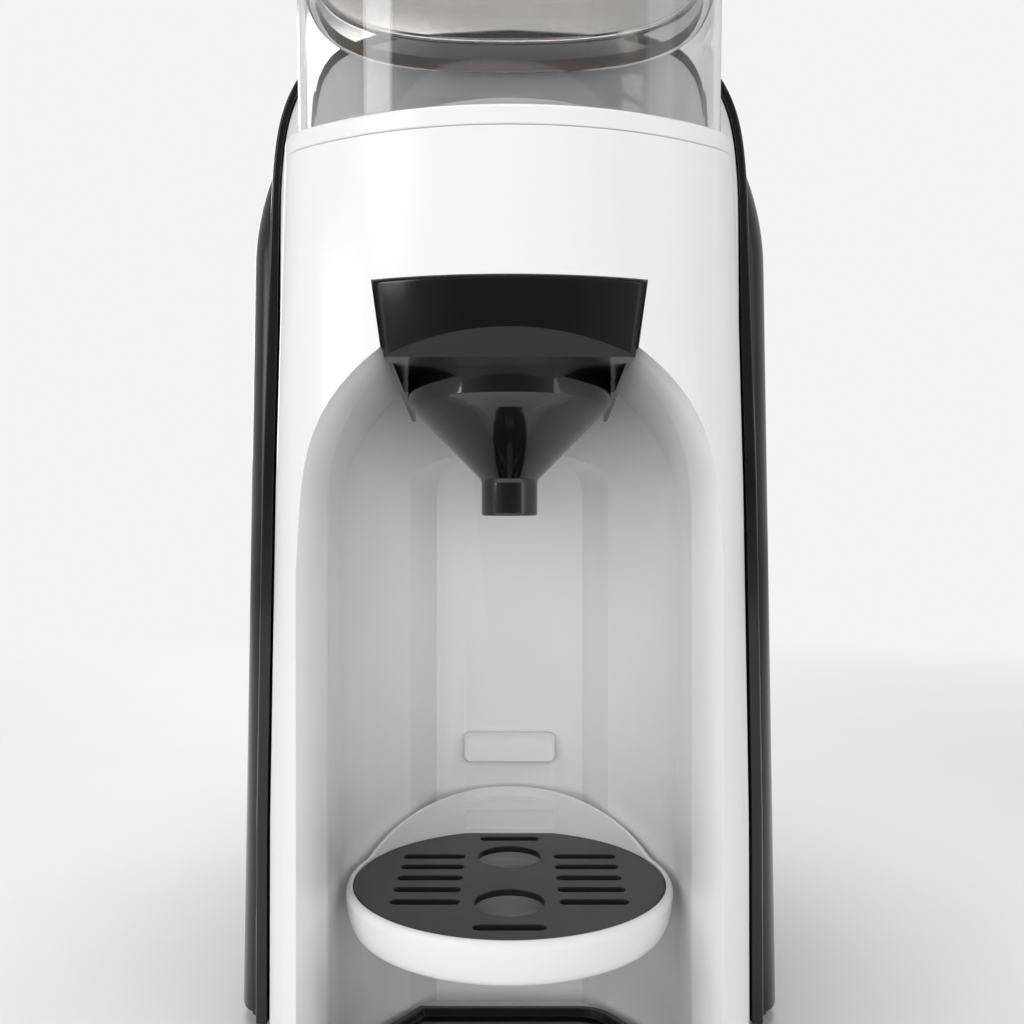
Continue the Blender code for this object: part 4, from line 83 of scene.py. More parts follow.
class Sock:
    """A shader socket that takes part in Python arithmetic by adding the nodes for it."""

    def __init__(self, graph: Graph, socket: bpy.types.NodeSocket) -> None:
        """Wraps an output socket of a graph."""
        self.graph = graph
        self.socket = socket

    def _maths(self, operation: str, first: object, second: object) -> Sock:
        """Adds a Math node and returns its result."""
        return self.graph.node("ShaderNodeMath", {"operation": operation}, {0: first, 1: second})[0]

    def __add__(self, other: object) -> Sock:
        """Adds."""
        return self._maths("ADD", self, other)

    __radd__ = __add__

    def __mul__(self, other: object) -> Sock:
        """Multiplies."""
        return self._maths("MULTIPLY", self, other)

    __rmul__ = __mul__

    def __sub__(self, other: object) -> Sock:
        """Subtracts."""
        return self._maths("SUBTRACT", self, other)

    def __rsub__(self, other: object) -> Sock:
        """Is subtracted from something."""
        return self._maths("SUBTRACT", other, self)

    def __truediv__(self, other: object) -> Sock:
        """Divides."""
        return self._maths("DIVIDE", self, other)

    def __gt__(self, other: object) -> Sock:
        """Gives 1 where it is the larger."""
        return self._maths("GREATER_THAN", self, other)

    def __lt__(self, other: object) -> Sock:
        """Gives 1 where it is the smaller."""
        return self._maths("LESS_THAN", self, other)

    def to(self, low: float, high: float, out_low: float, out_high: float) -> Sock:
        """Maps a range onto another, clamped.

        Args:
            low: the start of the range.
            high: the end of the range.
            out_low: what the start becomes.
            out_high: what the end becomes.

        Returns:
            The mapped value.
        """
        values = {"Value": self, "From Min": low, "From Max": high, "To Min": out_low, "To Max": out_high}
        return self.graph.node("ShaderNodeMapRange", {"clamp": True}, values)[0]


class Graph:
    """The node tree of one material, with its Principled shader."""

    def __init__(self, name: str) -> None:
        """Makes a material with an empty tree but for the shader and the output."""
        self.material = bpy.data.materials.new(name)
        self.material.use_nodes = True
        self.tree = self.material.node_tree
        self.shader = self.tree.nodes["Principled BSDF"]
        self.output = self.tree.nodes["Material Output"]

    def node(self, kind: str, settings: dict | None = None, inputs: dict | None = None) -> list[Sock]:
        """Adds a node, sets it up and feeds its sockets.

        Args:
            kind: the node's type.
            settings: its own settings, and under "stops" a ramp's places and colours.
            inputs: numbers, colours or sockets for its inputs, by name or number.

        Returns:
            Its output sockets.
        """
        made = self.tree.nodes.new(kind)
        for name, value in (settings or {}).items():
            if name == "stops":
                ramp = made.color_ramp
                while len(ramp.elements) < len(value):
                    ramp.elements.new(1.0)
                for element, (place, colour) in zip(ramp.elements, value):
                    element.position = place
                    element.color = (*colour, 1.0)
                continue
            setattr(made, name, value)
        for name, value in (inputs or {}).items():
            self.feed(made.inputs[name], value)
        return [Sock(self, out) for out in made.outputs]

    def feed(self, socket: bpy.types.NodeSocket, value: object) -> None:
        """Sets or links one input socket."""
        if isinstance(value, Sock):
            self.tree.links.new(value.socket, socket)
        elif isinstance(value, (tuple, list)) and len(value) == 3 and len(socket.default_value) == 4:
            socket.default_value = (*value, 1.0)
        else:
            socket.default_value = value

    def set(self, **inputs: object) -> None:
        """Feeds the Principled shader's sockets, named with underscores for spaces."""
        for name, value in inputs.items():
            self.feed(self.shader.inputs[name.replace("_", " ")], value)

    def place(self) -> Sock:
        """Returns the point in the piece's own frame, in metres."""
        return self.node("ShaderNodeTexCoord")[3]

    def noise(self, scale: float, detail: float = 2.0, rough: float = 0.5, at: Sock | None = None) -> Sock:
        """Returns noise from 0 to 1 of a number of cells a metre."""
        inputs = {"Scale": scale, "Detail": detail, "Roughness": rough, "Vector": at or self.place()}
        return self.node("ShaderNodeTexNoise", {"noise_dimensions": "3D"}, inputs)[0]

    def mix(self, share: object, first: object, second: object) -> Sock:
        """Returns a mix of two colours."""
        mixed = self.node("ShaderNodeMix", {"data_type": "RGBA"}, {0: share, 6: first, 7: second})
        return mixed[2]

    def stretched(self, scales: Point3) -> Sock:
        """Returns the point scaled on each axis, for streaks and brushing."""
        settings = {"vector_type": "POINT"}
        return self.node("ShaderNodeMapping", settings, {"Vector": self.place(), "Scale": scales})[0]

    def bump(self, height: Sock, depth: float, strength: float = 1.0) -> Sock:
        """Returns a normal raised by a height of some metres."""
        inputs = {"Height": height, "Distance": depth, "Strength": strength}
        return self.node("ShaderNodeBump", {}, inputs)[0]

    def wave(self, along: Sock, per_metre: float) -> Sock:
        """Returns a sine from 0 to 1 of a length."""
        swing = self.node("ShaderNodeMath", {"operation": "SINE"}, {0: along * (per_metre * math.tau)})[0]
        return swing * 0.5 + 0.5

    def edge_mask(self) -> Sock:
        """Returns 1 along convex edges and 0 on open faces, from the mesh's pointiness."""
        return self.node("ShaderNodeNewGeometry")[7].to(0.505, 0.56, 0.0, 1.0)


# Finishes --------------------------------------------------------------------------------------


def shade(colour: Point3, factor: float) -> Point3:
    """Returns a colour made lighter or darker."""
    return tuple(min(part * factor, 1.0) for part in colour)


@dataclass(frozen=True)
class Moulded:
    """A moulded plastic: fine orange-peel skin, faint flow clouds, handling haze and a painted highlight along
    convex edges.
    """

    name: str
    colour: Point3
    roughness: float
    peel: float = 900.0
    peel_depth: float = 0.000006
    cloud: float = 0.03
    haze: float = 0.05
    coat: float = 0.0
    grain: float = 0.0
    grain_depth: float = 0.00004
    specular: float = 0.5

    def make(self) -> bpy.types.Material:
        """Returns the material."""
        graph = Graph(self.name)
        clouds = graph.noise(22.0, 3.0, 0.6).to(0.3, 0.7, 0.0, 1.0)
        speck = graph.noise(2600.0, 1.0).to(0.62, 0.74, 0.0, 1.0)
        base = graph.mix(clouds, shade(self.colour, 1 - self.cloud), shade(self.colour, 1 + self.cloud))
        # painted highlight: convex edges are made lighter in colour, as if catching the light
        edge = graph.edge_mask()
        base = graph.mix(edge * 0.25, base, shade(self.colour, 1.12))
        smear = graph.noise(30.0, 2.0, 0.5).to(0.35, 0.7, 0.0, 1.0)
        rough = smear * self.haze + clouds * (self.haze * 0.4) + self.roughness + speck * 0.01
        skin = graph.noise(self.peel, 2.0, 0.45)
        normal = graph.bump(skin, self.peel_depth)
        if self.grain:
            pits = graph.node("ShaderNodeTexVoronoi", {}, {"Scale": self.grain, "Vector": graph.place()})[0]
            graph.set(Normal=self._grained(graph, pits, skin))
        else:
            graph.set(Normal=normal)
        graph.set(Base_Color=base, Roughness=rough)
        graph.set(Coat_Roughness=0.05, Specular_IOR_Level=self.specular)
        graph.set(Coat_Weight=self.coat)
        return graph.material

    def _grained(self, graph: Graph, pits: Sock, skin: Sock) -> Sock:
        """Returns the normal of a spark-eroded grain."""
        return graph.bump(pits * 0.7 + skin * 0.3, self.grain_depth)


@dataclass(frozen=True)
class Clear:
    """A clear or smoky plastic: see-through, with moulding ripples, faint scratches and dust."""

    name: str
    colour: Point3
    roughness: float = 0.02
    ior: float = 1.5
    ripple: float = 0.00002
    alpha: float = 1.0
    dust: float = 0.03

    def make(self) -> bpy.types.Material:
        """Returns the material."""
        graph = Graph(self.name)
        dust = graph.noise(60.0, 2.0, 0.5).to(0.4, 0.75, 0.0, 1.0)
        scratch = graph.noise(40.0, 3.0, 0.6, graph.stretched((9.0, 9.0, 0.6))).to(0.62, 0.74, 0.0, 1.0)
        ripple = graph.noise(24.0, 1.0, 0.4, graph.stretched((1.0, 1.0, 0.4)))
        graph.set(Base_Color=graph.mix(dust * 0.3, self.colour, shade(self.colour, 0.94)))
        graph.set(Roughness=dust * self.dust + scratch * 0.05 + self.roughness)
        graph.set(Normal=graph.bump(ripple, self.ripple, 0.6))
        graph.set(Transmission_Weight=1.0, IOR=self.ior, Alpha=self.alpha)
        return graph.material


@dataclass(frozen=True)
class Metal:
    """A metal with fine brushing or turning marks, stains and brighter edges."""

    name: str
    colour: Point3
    roughness: float = 0.28
    marks: Point3 = (1.0, 1.0, 30.0)
    mark_scale: float = 90.0

    def make(self) -> bpy.types.Material:
        """Returns the material."""
        graph = Graph(self.name)
        lines = graph.noise(self.mark_scale, 5.0, 0.7, graph.stretched(self.marks))
        stain = graph.noise(60.0, 4.0, 0.6).to(0.45, 0.7, 0.0, 1.0)
        tone = graph.mix(stain * 0.5, self.colour, shade(self.colour, 0.72))
        graph.set(Base_Color=graph.mix(graph.edge_mask() * 0.6, tone, shade(self.colour, 1.25)))
        graph.set(Metallic=1.0, Roughness=lines * 0.18 + stain * 0.1 + (self.roughness - 0.09))
        graph.set(Normal=graph.bump(lines, 0.00003, 0.7))
        return graph.material


@dataclass(frozen=True)
class Rubbery:
    """A rubber or silicone: dull, a little dusty, with a soft pebbled skin."""

    name: str
    colour: Point3
    roughness: float = 0.7
    through: float = 0.0

    def make(self) -> bpy.types.Material:
        """Returns the material."""
        graph = Graph(self.name)
        dust = graph.noise(240.0, 4.0, 0.65).to(0.4, 0.75, 0.0, 1.0)
        pebble = graph.noise(3200.0, 2.0)
        graph.set(Base_Color=graph.mix(dust * 0.35, self.colour, shade(self.colour, 1.5)))
        graph.set(Roughness=dust * 0.12 + self.roughness, Normal=graph.bump(pebble, 0.00002))
        graph.set(Transmission_Weight=self.through, IOR=1.42)
        return graph.material


@dataclass(frozen=True)
class Circuit:
    """A circuit board: green mask with copper runs under it, pads and dark chips."""

    name: str
    mask: Point3 = (0.012, 0.11, 0.045)
    copper: Point3 = (0.03, 0.2, 0.07)
    chip: Point3 = (0.015, 0.015, 0.017)
    board_face: float = -0.0235

    def make(self) -> bpy.types.Material:
        """Returns the material."""
        graph = Graph(self.name)
        across, depth, up = graph.node("ShaderNodeSeparateXYZ", {}, {0: graph.place()})[:3]
        settings = {"feature": "F1", "distance": "MANHATTAN"}
        cells = graph.node("ShaderNodeTexVoronoi", settings, {"Scale": 240.0, "Vector": graph.place()})
        runs = cells[0].to(0.28, 0.34, 0.0, 1.0)
        ladder = graph.wave(up, 900.0) * graph.wave(across, 620.0)
        tone = graph.mix(runs, self.copper, self.mask)
        tone = graph.mix(ladder.to(0.86, 0.92, 0.0, 1.0), tone, (0.55, 0.5, 0.32))
        raised = depth < self.board_face - 0.0018
        graph.set(Base_Color=graph.mix(raised, tone, self.chip))
        graph.set(Roughness=raised * 0.2 + 0.32, Normal=graph.bump(runs, 0.00004))
        return graph.material


# Forms -----------------------------------------------------------------------------------------


class Op(Enum):
    """How a solid works on a form."""

    CUT = "DIFFERENCE"
    JOIN = "UNION"
    KEEP = "INTERSECT"


def arc(centre: Point2, radius: float, start: float, end: float, steps: int) -> list[Point2]:
    """Returns the points of an arc, both ends included."""
    turns = [start + (end - start) * i / steps for i in range(steps + 1)]
    return [(centre[0] + radius * math.cos(t), centre[1] + radius * math.sin(t)) for t in turns]


def circle(radius: float, steps: int = 48, centre: Point2 = (0.0, 0.0), phase: float = 0.0) -> list[Point2]:
    """Returns the points of a circle."""
    return arc(centre, radius, phase, phase + math.tau, steps)[:-1]


def round_box(
    half_a: float, half_b: float, radius: float, steps: int = 8, centre: Point2 = (0, 0)
) -> list[Point2]:
    """Returns a rectangle's outline with round corners."""
    points = []
    for quarter, (side_a, side_b) in enumerate(((1, 1), (-1, 1), (-1, -1), (1, -1))):
        corner = (centre[0] + side_a * (half_a - radius), centre[1] + side_b * (half_b - radius))
        points += arc(corner, radius, quarter * math.pi / 2, (quarter + 1) * math.pi / 2, steps)
    return points


def mirrored(side: Sequence[Point2], middle: Sequence[Point2] = ()) -> list[Point2]:
    """Returns an outline of a right side, a middle and the right side's mirror image."""
    return [*side, *middle, *[(-a, b) for a, b in reversed(side)]]


def smooth(points: Sequence[Point2], steps: int) -> list[Point2]:
    """Returns a curve through points, with steps to each stretch between them.

    Args:
        points: the points that the curve goes through.
        steps: how many pieces each stretch is drawn with.

    Returns:
        The finer points, both ends included.
    """
    knots = [Vector(point) for point in points]
    knots = [2 * knots[0] - knots[1], *knots, 2 * knots[-1] - knots[-2]]
    fine = []
    for a, b, c, d in zip(knots, knots[1:], knots[2:], knots[3:]):
        for step in range(steps):
            t = step / steps
            square = 2 * a - 5 * b + 4 * c - d
            cube = 3 * b - a - 3 * c + d
            fine.append(tuple(0.5 * (2 * b + (c - a) * t + square * t**2 + cube * t**3)))
    return [*fine, tuple(points[-1])]


def loft(rings: Sequence[Ring], closed: bool = False) -> Solid:
    """Returns a closed solid through rings of equal counts.

    Args:
        rings: the rings, each of the same number of points.
        closed: whether the last ring goes on to the first, with no end caps.

    Returns:
        The points and faces.
    """
    count = len(rings[0])
    points = [point for ring in rings for point in ring]
    faces = []
    for level in range(len(rings) if closed else len(rings) - 1):
        low = level * count
        high = (level + 1) % len(rings) * count
        for i in range(count):
            j = (i + 1) % count
            faces.append([low + i, low + j, high + j, high + i])
    if not closed:
        faces.append(list(range(count))[::-1])
        faces.append([(len(rings) - 1) * count + i for i in range(count)])
    return points, faces


def prism(outline: Sequence[Point2], low: float, high: float, axis: str = "Z") -> Solid:
    """Returns a solid of one outline, drawn out between two places along an axis."""
    order = {"X": lambda a, b, c: (c, a, b), "Y": lambda a, b, c: (a, c, b), "Z": lambda a, b, c: (a, b, c)}
    return loft([[order[axis](a, b, c) for a, b in outline] for c in (low, high)])


def block(low: Point3, high: Point3) -> Solid:
    """Returns a box between two corners."""
    outline = [(low[0], low[1]), (high[0], low[1]), (high[0], high[1]), (low[0], high[1])]
    return prism(outline, low[2], high[2])


def turned(profile: Sequence[Point2], centre: Point2 = (0.0, 0.0), steps: int = 64) -> Solid:
    """Returns a solid of revolution about an upright axis.

    Args:
        profile: closed (radius, height) outline, whose points on the axis have radius 0.
        centre: where the axis stands in plan.
        steps: how many facets go round.

    Returns:
        The points and faces.
    """
    points: list[Point3] = []
    rows = []
    for radius, height in profile:
        if radius < 1e-6:
            rows.append([len(points)] * steps)
            points.append((centre[0], centre[1], height))
            continue
        rows.append([len(points) + i for i in range(steps)])
        points += [(x, y, height) for x, y in circle(radius, steps, centre)]
    faces = []
    for k, row in enumerate(rows):
        after = rows[(k + 1) % len(rows)]
        for i in range(steps):
            j = (i + 1) % steps
            face = list(dict.fromkeys([row[i], row[j], after[j], after[i]]))
            if len(face) > 2:
                faces.append(face)
    return points, faces


def rounded(
    profile: Sequence[Point2], radius: float, steps: int = 3, keep: Iterable[int] = ()
) -> list[Point2]:
    """Returns a closed outline with its corners rounded.

    Args:
        profile: the outline's corners in order.
        radius: the most that a corner is rounded; a short side gets less.
        steps: how many pieces each corner is drawn with.
        keep: the numbers of corners left sharp.

    Returns:
        The finer outline.
    """
    knots = [Vector(point) for point in profile]
    kept = set(keep)
    fine: list[Point2] = []
    for i, knot in enumerate(knots):
        before, after = knots[i - 1], knots[(i + 1) % len(knots)]
        to_before, to_after = before - knot, after - knot
        reach = min(radius, 0.45 * to_before.length, 0.45 * to_after.length)
        if i in kept or knot.x < 1e-6:
            fine.append(tuple(knot))
            continue
        start, end = knot + to_before.normalized() * reach, knot + to_after.normalized() * reach
        for step in range(steps + 1):
            t = step / steps
            fine.append(tuple(start.lerp(knot, t).lerp(knot.lerp(end, t), t)))
    return fine


def merged(*solids: Solid) -> Solid:
    """Returns several separate solids as one list of points and faces."""
    points: list[Point3] = []
    faces: list[list[int]] = []
    for more, sides in solids:
        start = len(points)
        points += more
        faces += [[start + i for i in side] for side in sides]
    return points, faces


class Form:
    """A piece in the making: a mesh in metres, worked on by other solids in turn."""

    def __init__(self, name: str, solid: Solid) -> None:
        """Makes a mesh object of a solid given in millimetres."""
        mesh = bpy.data.meshes.new(name)
        mesh.from_pydata([Vector(point) * MM for point in solid[0]], [], solid[1])
        work = bmesh.new()
        work.from_mesh(mesh)
        bmesh.ops.recalc_face_normals(work, faces=work.faces)
        work.to_mesh(mesh)
        work.free()
        self.item = bpy.data.objects.new(name, mesh)
        bpy.context.scene.collection.objects.link(self.item)

    def _apply(self) -> None:
        """Turns the object's modifiers into mesh."""
        graph = bpy.context.evaluated_depsgraph_get()
        shape = self.item.evaluated_get(graph)
        made = bpy.data.meshes.new_from_object(shape, preserve_all_data_layers=True, depsgraph=graph)
        old = self.item.data
        self.item.modifiers.clear()
        self.item.data = made
        made.name = self.item.name
        bpy.data.meshes.remove(old)

    def work(self, operation: Op, tool: Solid | Form) -> Form:
        """Cuts, joins or keeps with another solid, and returns the form.

        Args:
            operation: what the tool does.
            tool: the solid in millimetres, or another form, which is used up.

        Returns:
            The form itself.
        """
        other = tool if isinstance(tool, Form) else Form("tool", tool)
        step = self.item.modifiers.new("boolean", "BOOLEAN")
        step.operation = operation.value
        step.object = other.item
        step.solver = "EXACT"
        self._apply()
        bpy.data.objects.remove(other.item, do_unlink=True)
        return self

    def cut(self, tool: Solid | Form) -> Form:
        """Takes a solid away."""
        return self.work(Op.CUT, tool)

    def join(self, tool: Solid | Form) -> Form:
        """Adds a solid."""
        return self.work(Op.JOIN, tool)

    def keep(self, tool: Solid | Form) -> Form:
        """Keeps only what lies in a solid."""
        return self.work(Op.KEEP, tool)

    def clean(self, angle: float = 0.3) -> Form:
        """Merges double points and the flat faces that a Boolean leaves in pieces."""
        work = bmesh.new()
        work.from_mesh(self.item.data)
        bmesh.ops.remove_doubles(work, verts=work.verts, dist=0.004 * MM)
        bmesh.ops.dissolve_degenerate(work, edges=work.edges, dist=0.004 * MM)
        limit = math.radians(angle)
        bmesh.ops.dissolve_limit(work, angle_limit=limit, verts=work.verts, edges=work.edges)
        work.to_mesh(self.item.data)
        work.free()
        return self

    def soften(self, width: float, segments: int = 2, angle: float = 40.0) -> Form:
        """Rounds the sharp edges by a width in millimetres."""
        step = self.item.modifiers.new("edges", "BEVEL")
        step.width = width * MM
        step.segments = segments
        step.limit_method = "ANGLE"
        step.angle_limit = math.radians(angle)
        step.use_clamp_overlap = True
        step.miter_outer = "MITER_ARC"
        self._apply()
        return self

    def done(self, angle: float = 30.0) -> bpy.types.Object:
        """Shades it smooth up to an angle and returns the object."""
        self.item.data.materials.clear()
        self.item.data.shade_smooth()
        self.item.data.set_sharp_from_angle(angle=math.radians(angle))
        step = self.item.modifiers.new("normals", "WEIGHTED_NORMAL")
        step.keep_sharp = True
        step.weight = 90
        self._apply()
        return self.item


@dataclass
class Maker:
    """Dresses pieces: gives each its finish and body, and hides the nodes that it stands for."""

    frame: dict
    finishes: dict[str, bpy.types.Material]
    count: int = 0

    def put(
        self, piece: bpy.types.Object, finish: str, body: str, nodes: Sequence[str]
    ) -> None:
        """Dresses a new piece and hangs it on its body.

        Args:
            piece: the new object.
            finish: its finish's name.
            body: the body that it rides on.
            nodes: the nodes that it replaces.
        """
        piece.data.materials.clear()
        piece.data.materials.append(self.finishes[finish])
        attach(piece, body)
        if nodes:
            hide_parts(*nodes)
        self.count += 1
        LOG.info("%s: %d faces on %s", piece.name, len(piece.data.polygons), body)

    def dress(self, finish: str, *nodes: str) -> None:
        """Gives nodes that keep their own shape a finish."""
        for name in nodes:
            node = self.frame["nodes"][name]
            node.data.materials.clear()
            node.data.materials.append(self.finishes[finish])
            node.data.shade_smooth()
            node.data.set_sharp_from_angle(angle=math.radians(32))
            LOG.info("%s keeps its shape", name)


# The machine's shared plan -----------------------------------------------------------------------


@dataclass(frozen=True)
class Plan:
    """Places that several sub-assemblies share, in millimetres."""

    front: float = -154.0
    corner: float = -127.0
    crease: float = -120.0
    bay: float = -100.0
    drive: float = -106.0
    chute: float = -78.0
    panel: float = -62.0
    rear_front: float = -54.7
    tank_front: float = -16.7
    back: float = 159.5
    bottom: float = 5.7
    floor: float = 7.2
    spring: float = 185.0
    bay_radius: float = 52.0
    drawer_bottom: float = 222.0
    drawer_top: float = 242.0
    head_top: float = 280.6
    deck: float = 107.0
    tank_top: float = 322.0
    gap: float = 0.3


PLAN = Plan()


def head_half(z: float) -> float:
    """Returns the head's half width at its front corners, which narrows upwards."""
    return 68.1 - 4.8 * (z / PLAN.head_top) ** 2


@dataclass
class Head:
    """The white shell of head, columns and bottle bay, and the deck on top of the head."""

    front_radius: float = 97.0
    corner_radius: float = 20.0
    flare: float = 11.0
    toe: float = 5.5
    toe_rise: float = 30.0
    wall: float = 2.6
    bay_wall: float = 2.4
    lips: tuple[Point2, ...] = (
        (34.0, 0.0), (26.0, 2.6), (20.0, 6.5), (14.0, 14.0), (2.0, 24.5), (-12.0, 32.0)
    )
    mouth_y: float = -60.66
    channel_half: float = 26.0
    channel_depth: float = 12.5
    chamfer: float = 8.0
    channel_top: float = 204.0
    channel_corner: float = 14.0
    ledge_tops: tuple[float, ...] = (77.3, 103.0)

    def outline(self, z: float, inset: float = 0.0, back: float = -62.3) -> list[Point2]:
        """Returns the head's plan outline from its right back corner round the front to the left.

        Args:
            z: the height.
            inset: how far the outline is moved inwards.
            back: where its straight back lies.

        Returns:
            The outline's points.
        """
        slope = math.atan2(self.flare, PLAN.panel - PLAN.corner)
        along = Vector((math.sin(slope), math.cos(slope)))
        outward = Vector((math.cos(slope), -math.sin(slope)))
        start = Vector((head_half(z), PLAN.corner)) - outward * inset
        middle = Vector((0, PLAN.front + self.front_radius))
        radius = self.corner_radius - inset
        offset = start - outward * radius - middle
        reach = self.front_radius - self.corner_radius
        half_b = offset.dot(along)
        slide = -half_b - math.sqrt(half_b**2 - offset.dot(offset) + reach**2)
        corner = start - outward * radius + along * slide
        to_corner = corner - middle
        join = math.atan2(to_corner.y, to_corner.x)
        side = math.atan2(outward.y, outward.x)
        end = start + along * ((back - start.y) / along.y)
        right = [(end.x, end.y)] + arc(corner, radius, side, join, 12)
        right += arc(middle, self.front_radius - inset, join, -math.pi / 2, 24)[1:-1]
        rise = min(max((z - PLAN.bottom) / self.toe_rise, 0), 1)
        toe = self.toe * (1 - rise) ** 2
        points = mirrored(right, [(0.0, PLAN.front + inset)])
        return [(x, y - toe * min(max((PLAN.corner - y) / 27, 0), 1)) for x, y in points]

    def form(self, inset: float, bottom: float, top: float, back: float = -62.3) -> Solid:
        """Returns the head and columns as a solid, moved inwards by an inset."""
        toe_top = PLAN.bottom + self.toe_rise
        heights = [bottom] + [PLAN.bottom + self.toe_rise * i / 6 for i in range(6)]
        heights += [toe_top + (PLAN.head_top - toe_top) * i / 10 for i in range(10)] + [top]
        return loft([[(x, y, z) for x, y in self.outline(z, inset, back)] for z in heights])

    def bay_ring(self, half: float, z: float, grow: float) -> Ring:
        """Returns the bay's plan outline at a height."""
        radius = PLAN.bay_radius + grow
        share = 1 - min(max((z - PLAN.floor - 158.0) / 60, 0), 1)
        lip = smooth([(half + out * share, PLAN.front + depth) for depth, out in self.lips], 4)
        back = []
        for i in range(1, 15):
            x = half * math.cos(math.pi / 2 * i / 15)
            back.append((x, PLAN.bay + math.sqrt(radius**2 - x**2)))
        corner = (half, PLAN.bay + math.sqrt(max(radius**2 - half**2, 0)))
        side = list(reversed(lip)) + [(half, corner[1] - 0.01)] + back
        return [(x, y, z) for x, y in mirrored(side, [(0.0, PLAN.bay + radius)])]

    def bay(self, grow: float = 0.0, floor: float = 7.2) -> Solid:
        """Returns the bottle bay's space as a solid, made larger by a wall."""
        radius = PLAN.bay_radius + grow
        fade = PLAN.floor + 158.0
        heights = [floor, fade] + [fade + (PLAN.spring - fade) * i / 4 for i in range(1, 4)]
        rings = [self.bay_ring(radius, z, grow) for z in heights]
        for degrees in (0, 5, 10, 15, 20, 25, 30, 35, 40, 45, 50, 55, 60, 65, 70, 75, 79, 83, 86):
            turn = math.radians(degrees)
            rings.append(self.bay_ring(radius * math.cos(turn), PLAN.spring + radius * math.sin(turn), grow))
        return loft(rings)

    def channel(self, grow: float = 0.0, floor: float = 7.2) -> Solid:
        """Returns the flat channel in the bay's back wall as a solid, made larger by a wall."""
        top = self.channel_top + grow
        mouth = self.channel_half + self.chamfer + grow
        places = (
            (self.mouth_y - self.chamfer, mouth, 0.0),
            (self.mouth_y, mouth, 0.0),
            (self.mouth_y + self.channel_depth + grow, self.channel_half + grow, 3.0),
        )
        rings = []
        for y, half, drop in places:
            corner = (half - self.channel_corner, top - drop - self.channel_corner)
            side = [(half, floor)] + arc(corner, self.channel_corner, 0, math.pi / 2, 12)
            rings.append([(x, y, z) for x, z in mirrored(side)])
        return loft(rings)

    def slot(self, grow: float = 0.0, drop: float = 0.0) -> Solid:
        """Returns the funnel drawer's way through the head's front as a solid."""
        rings = []
        for z in (PLAN.drawer_bottom - 7 - drop, PLAN.drawer_bottom, PLAN.drawer_top + 0.5 + grow):
            share = max((z - PLAN.drawer_bottom) / 20, 0)
            half = 33.0 + 2.9 * share + 0.45 + grow
            back, front = -65.5 + grow, PLAN.front - 12
            rings.append([(half, front, z), (half, back, z), (-half, back, z), (-half, front, z)])
        return loft(rings)

    def ledge(self, top: float, half: float) -> Solid:
        """Returns one ledge of the channel's wall: a soft block with a sloped upper front.

        Args:
            top: the height of its top.
            half: its half width.

        Returns:
            The ledge as a solid.
        """
        rear = self.mouth_y + self.channel_depth + 1.2
        front = self.mouth_y + self.channel_depth - 5
        rows = (
            (rear, 0.0, 5.0, 5.0), (front + 2.6, 0.0, 5.0, 5.0),
            (front + 0.9, 0.3, 4.3, 5.6), (front + 0.25, 0.7, 3.9, 5.8),
        )
        rings = []
        for y, less, tall, down in (*rows, (front, 1.3, 3.4, 5.9)):
            outline = round_box(half - less, tall, 2.2 - less / 3, 6, (0, top - down))
            rings.append([(x, y, z) for x, z in outline])
        return loft(rings)

    def shell(self) -> bpy.types.Object:
        """Builds the shell as one white moulding."""
        below = PLAN.bottom - 6
        hollow = Form("hollow", self.form(self.wall, below - 6, PLAN.head_top + 6, -50.0))
        thin = self.bay_wall - 0.37
        walls = Form("walls", self.bay(thin, below - 12))
        walls.join(self.channel(thin, below - 12)).join(self.slot(thin))
        hollow.cut(walls)
        shell = Form("white_shell", self.form(0, below, PLAN.head_top))
        lining = Form("lining", self.bay(self.bay_wall, below))
        lining.join(self.channel(self.bay_wall, below))
        lining.keep(block((-90, PLAN.crease, below), (90, 0, 260)))
        shell.join(lining).cut(hollow)
        shell.cut(block((-200, -300, below - 20), (200, 200, PLAN.bottom)))
        shell.cut(self.bay()).cut(self.channel(0, PLAN.floor))
        for top, half in zip(self.ledge_tops, (15.4, 16.3)):
            shell.join(self.ledge(top, half))
        shell.cut(self.slot())
        holes = [
            prism(circle(6.8, 32, (0, PLAN.chute)), 241, 260),
            prism(circle(3.1, 24, (-22, -90)), 241, 260),
        ]
        shell.cut(merged(*holes)).cut(Controls().recess())
        return shell.clean().soften(0.45, 2, 38).done(28)

    def deck(self) -> bpy.types.Object:
        """Builds the deck with the pocket that the powder container stands in."""
        low, top = PLAN.head_top + PLAN.gap, 286.5
        rings = []
        edge = ((low, 0.35), (low + 0.35, 0.0), (top - 1.5, 0.0), (top - 0.9, 0.15), (top - 0.4, 0.55), (top, 1.5))
        for z, inset in edge:
            rings.append([(x, y, z) for x, y in self.outline(PLAN.head_top, inset, -62.3 - inset)])
        deck = Form("deck_top", loft(rings))
        pocket = oval(62.5, 42.4, 96)
        deck.cut(prism(pocket, 283.2, top + 5))
        holes = [
            prism(circle(4.8, 24, (0, PLAN.drive)), 270, 300),
            prism(circle(5.1, 24, (0, PLAN.chute)), 270, 300),
        ]
        return deck.cut(merged(*holes)).clean().soften(0.3, 2, 40).done(30)

    def build(self, maker: Maker) -> None:
        """Builds and dresses the head's pieces."""
        nodes = ("front_housing", "bay_liner", "channel_panel", "drawer_guide")
        maker.put(self.shell(), "white_plastic", "body", nodes)
        maker.put(self.deck(), "white_plastic", "body", ("deck_ring",))


def oval(half_x: float, half_y: float, steps: int = 96) -> list[Point2]:
    """Returns the powder container's outline, an ellipse with fuller corners."""
    points = []
    for i in range(steps):
        turn = math.tau * i / steps
        across = math.copysign(abs(math.cos(turn)) ** 0.8, math.cos(turn))
        along = math.copysign(abs(math.sin(turn)) ** 0.8, math.sin(turn))
        points.append((half_x * across, PLAN.drive + half_y * along))
    return points


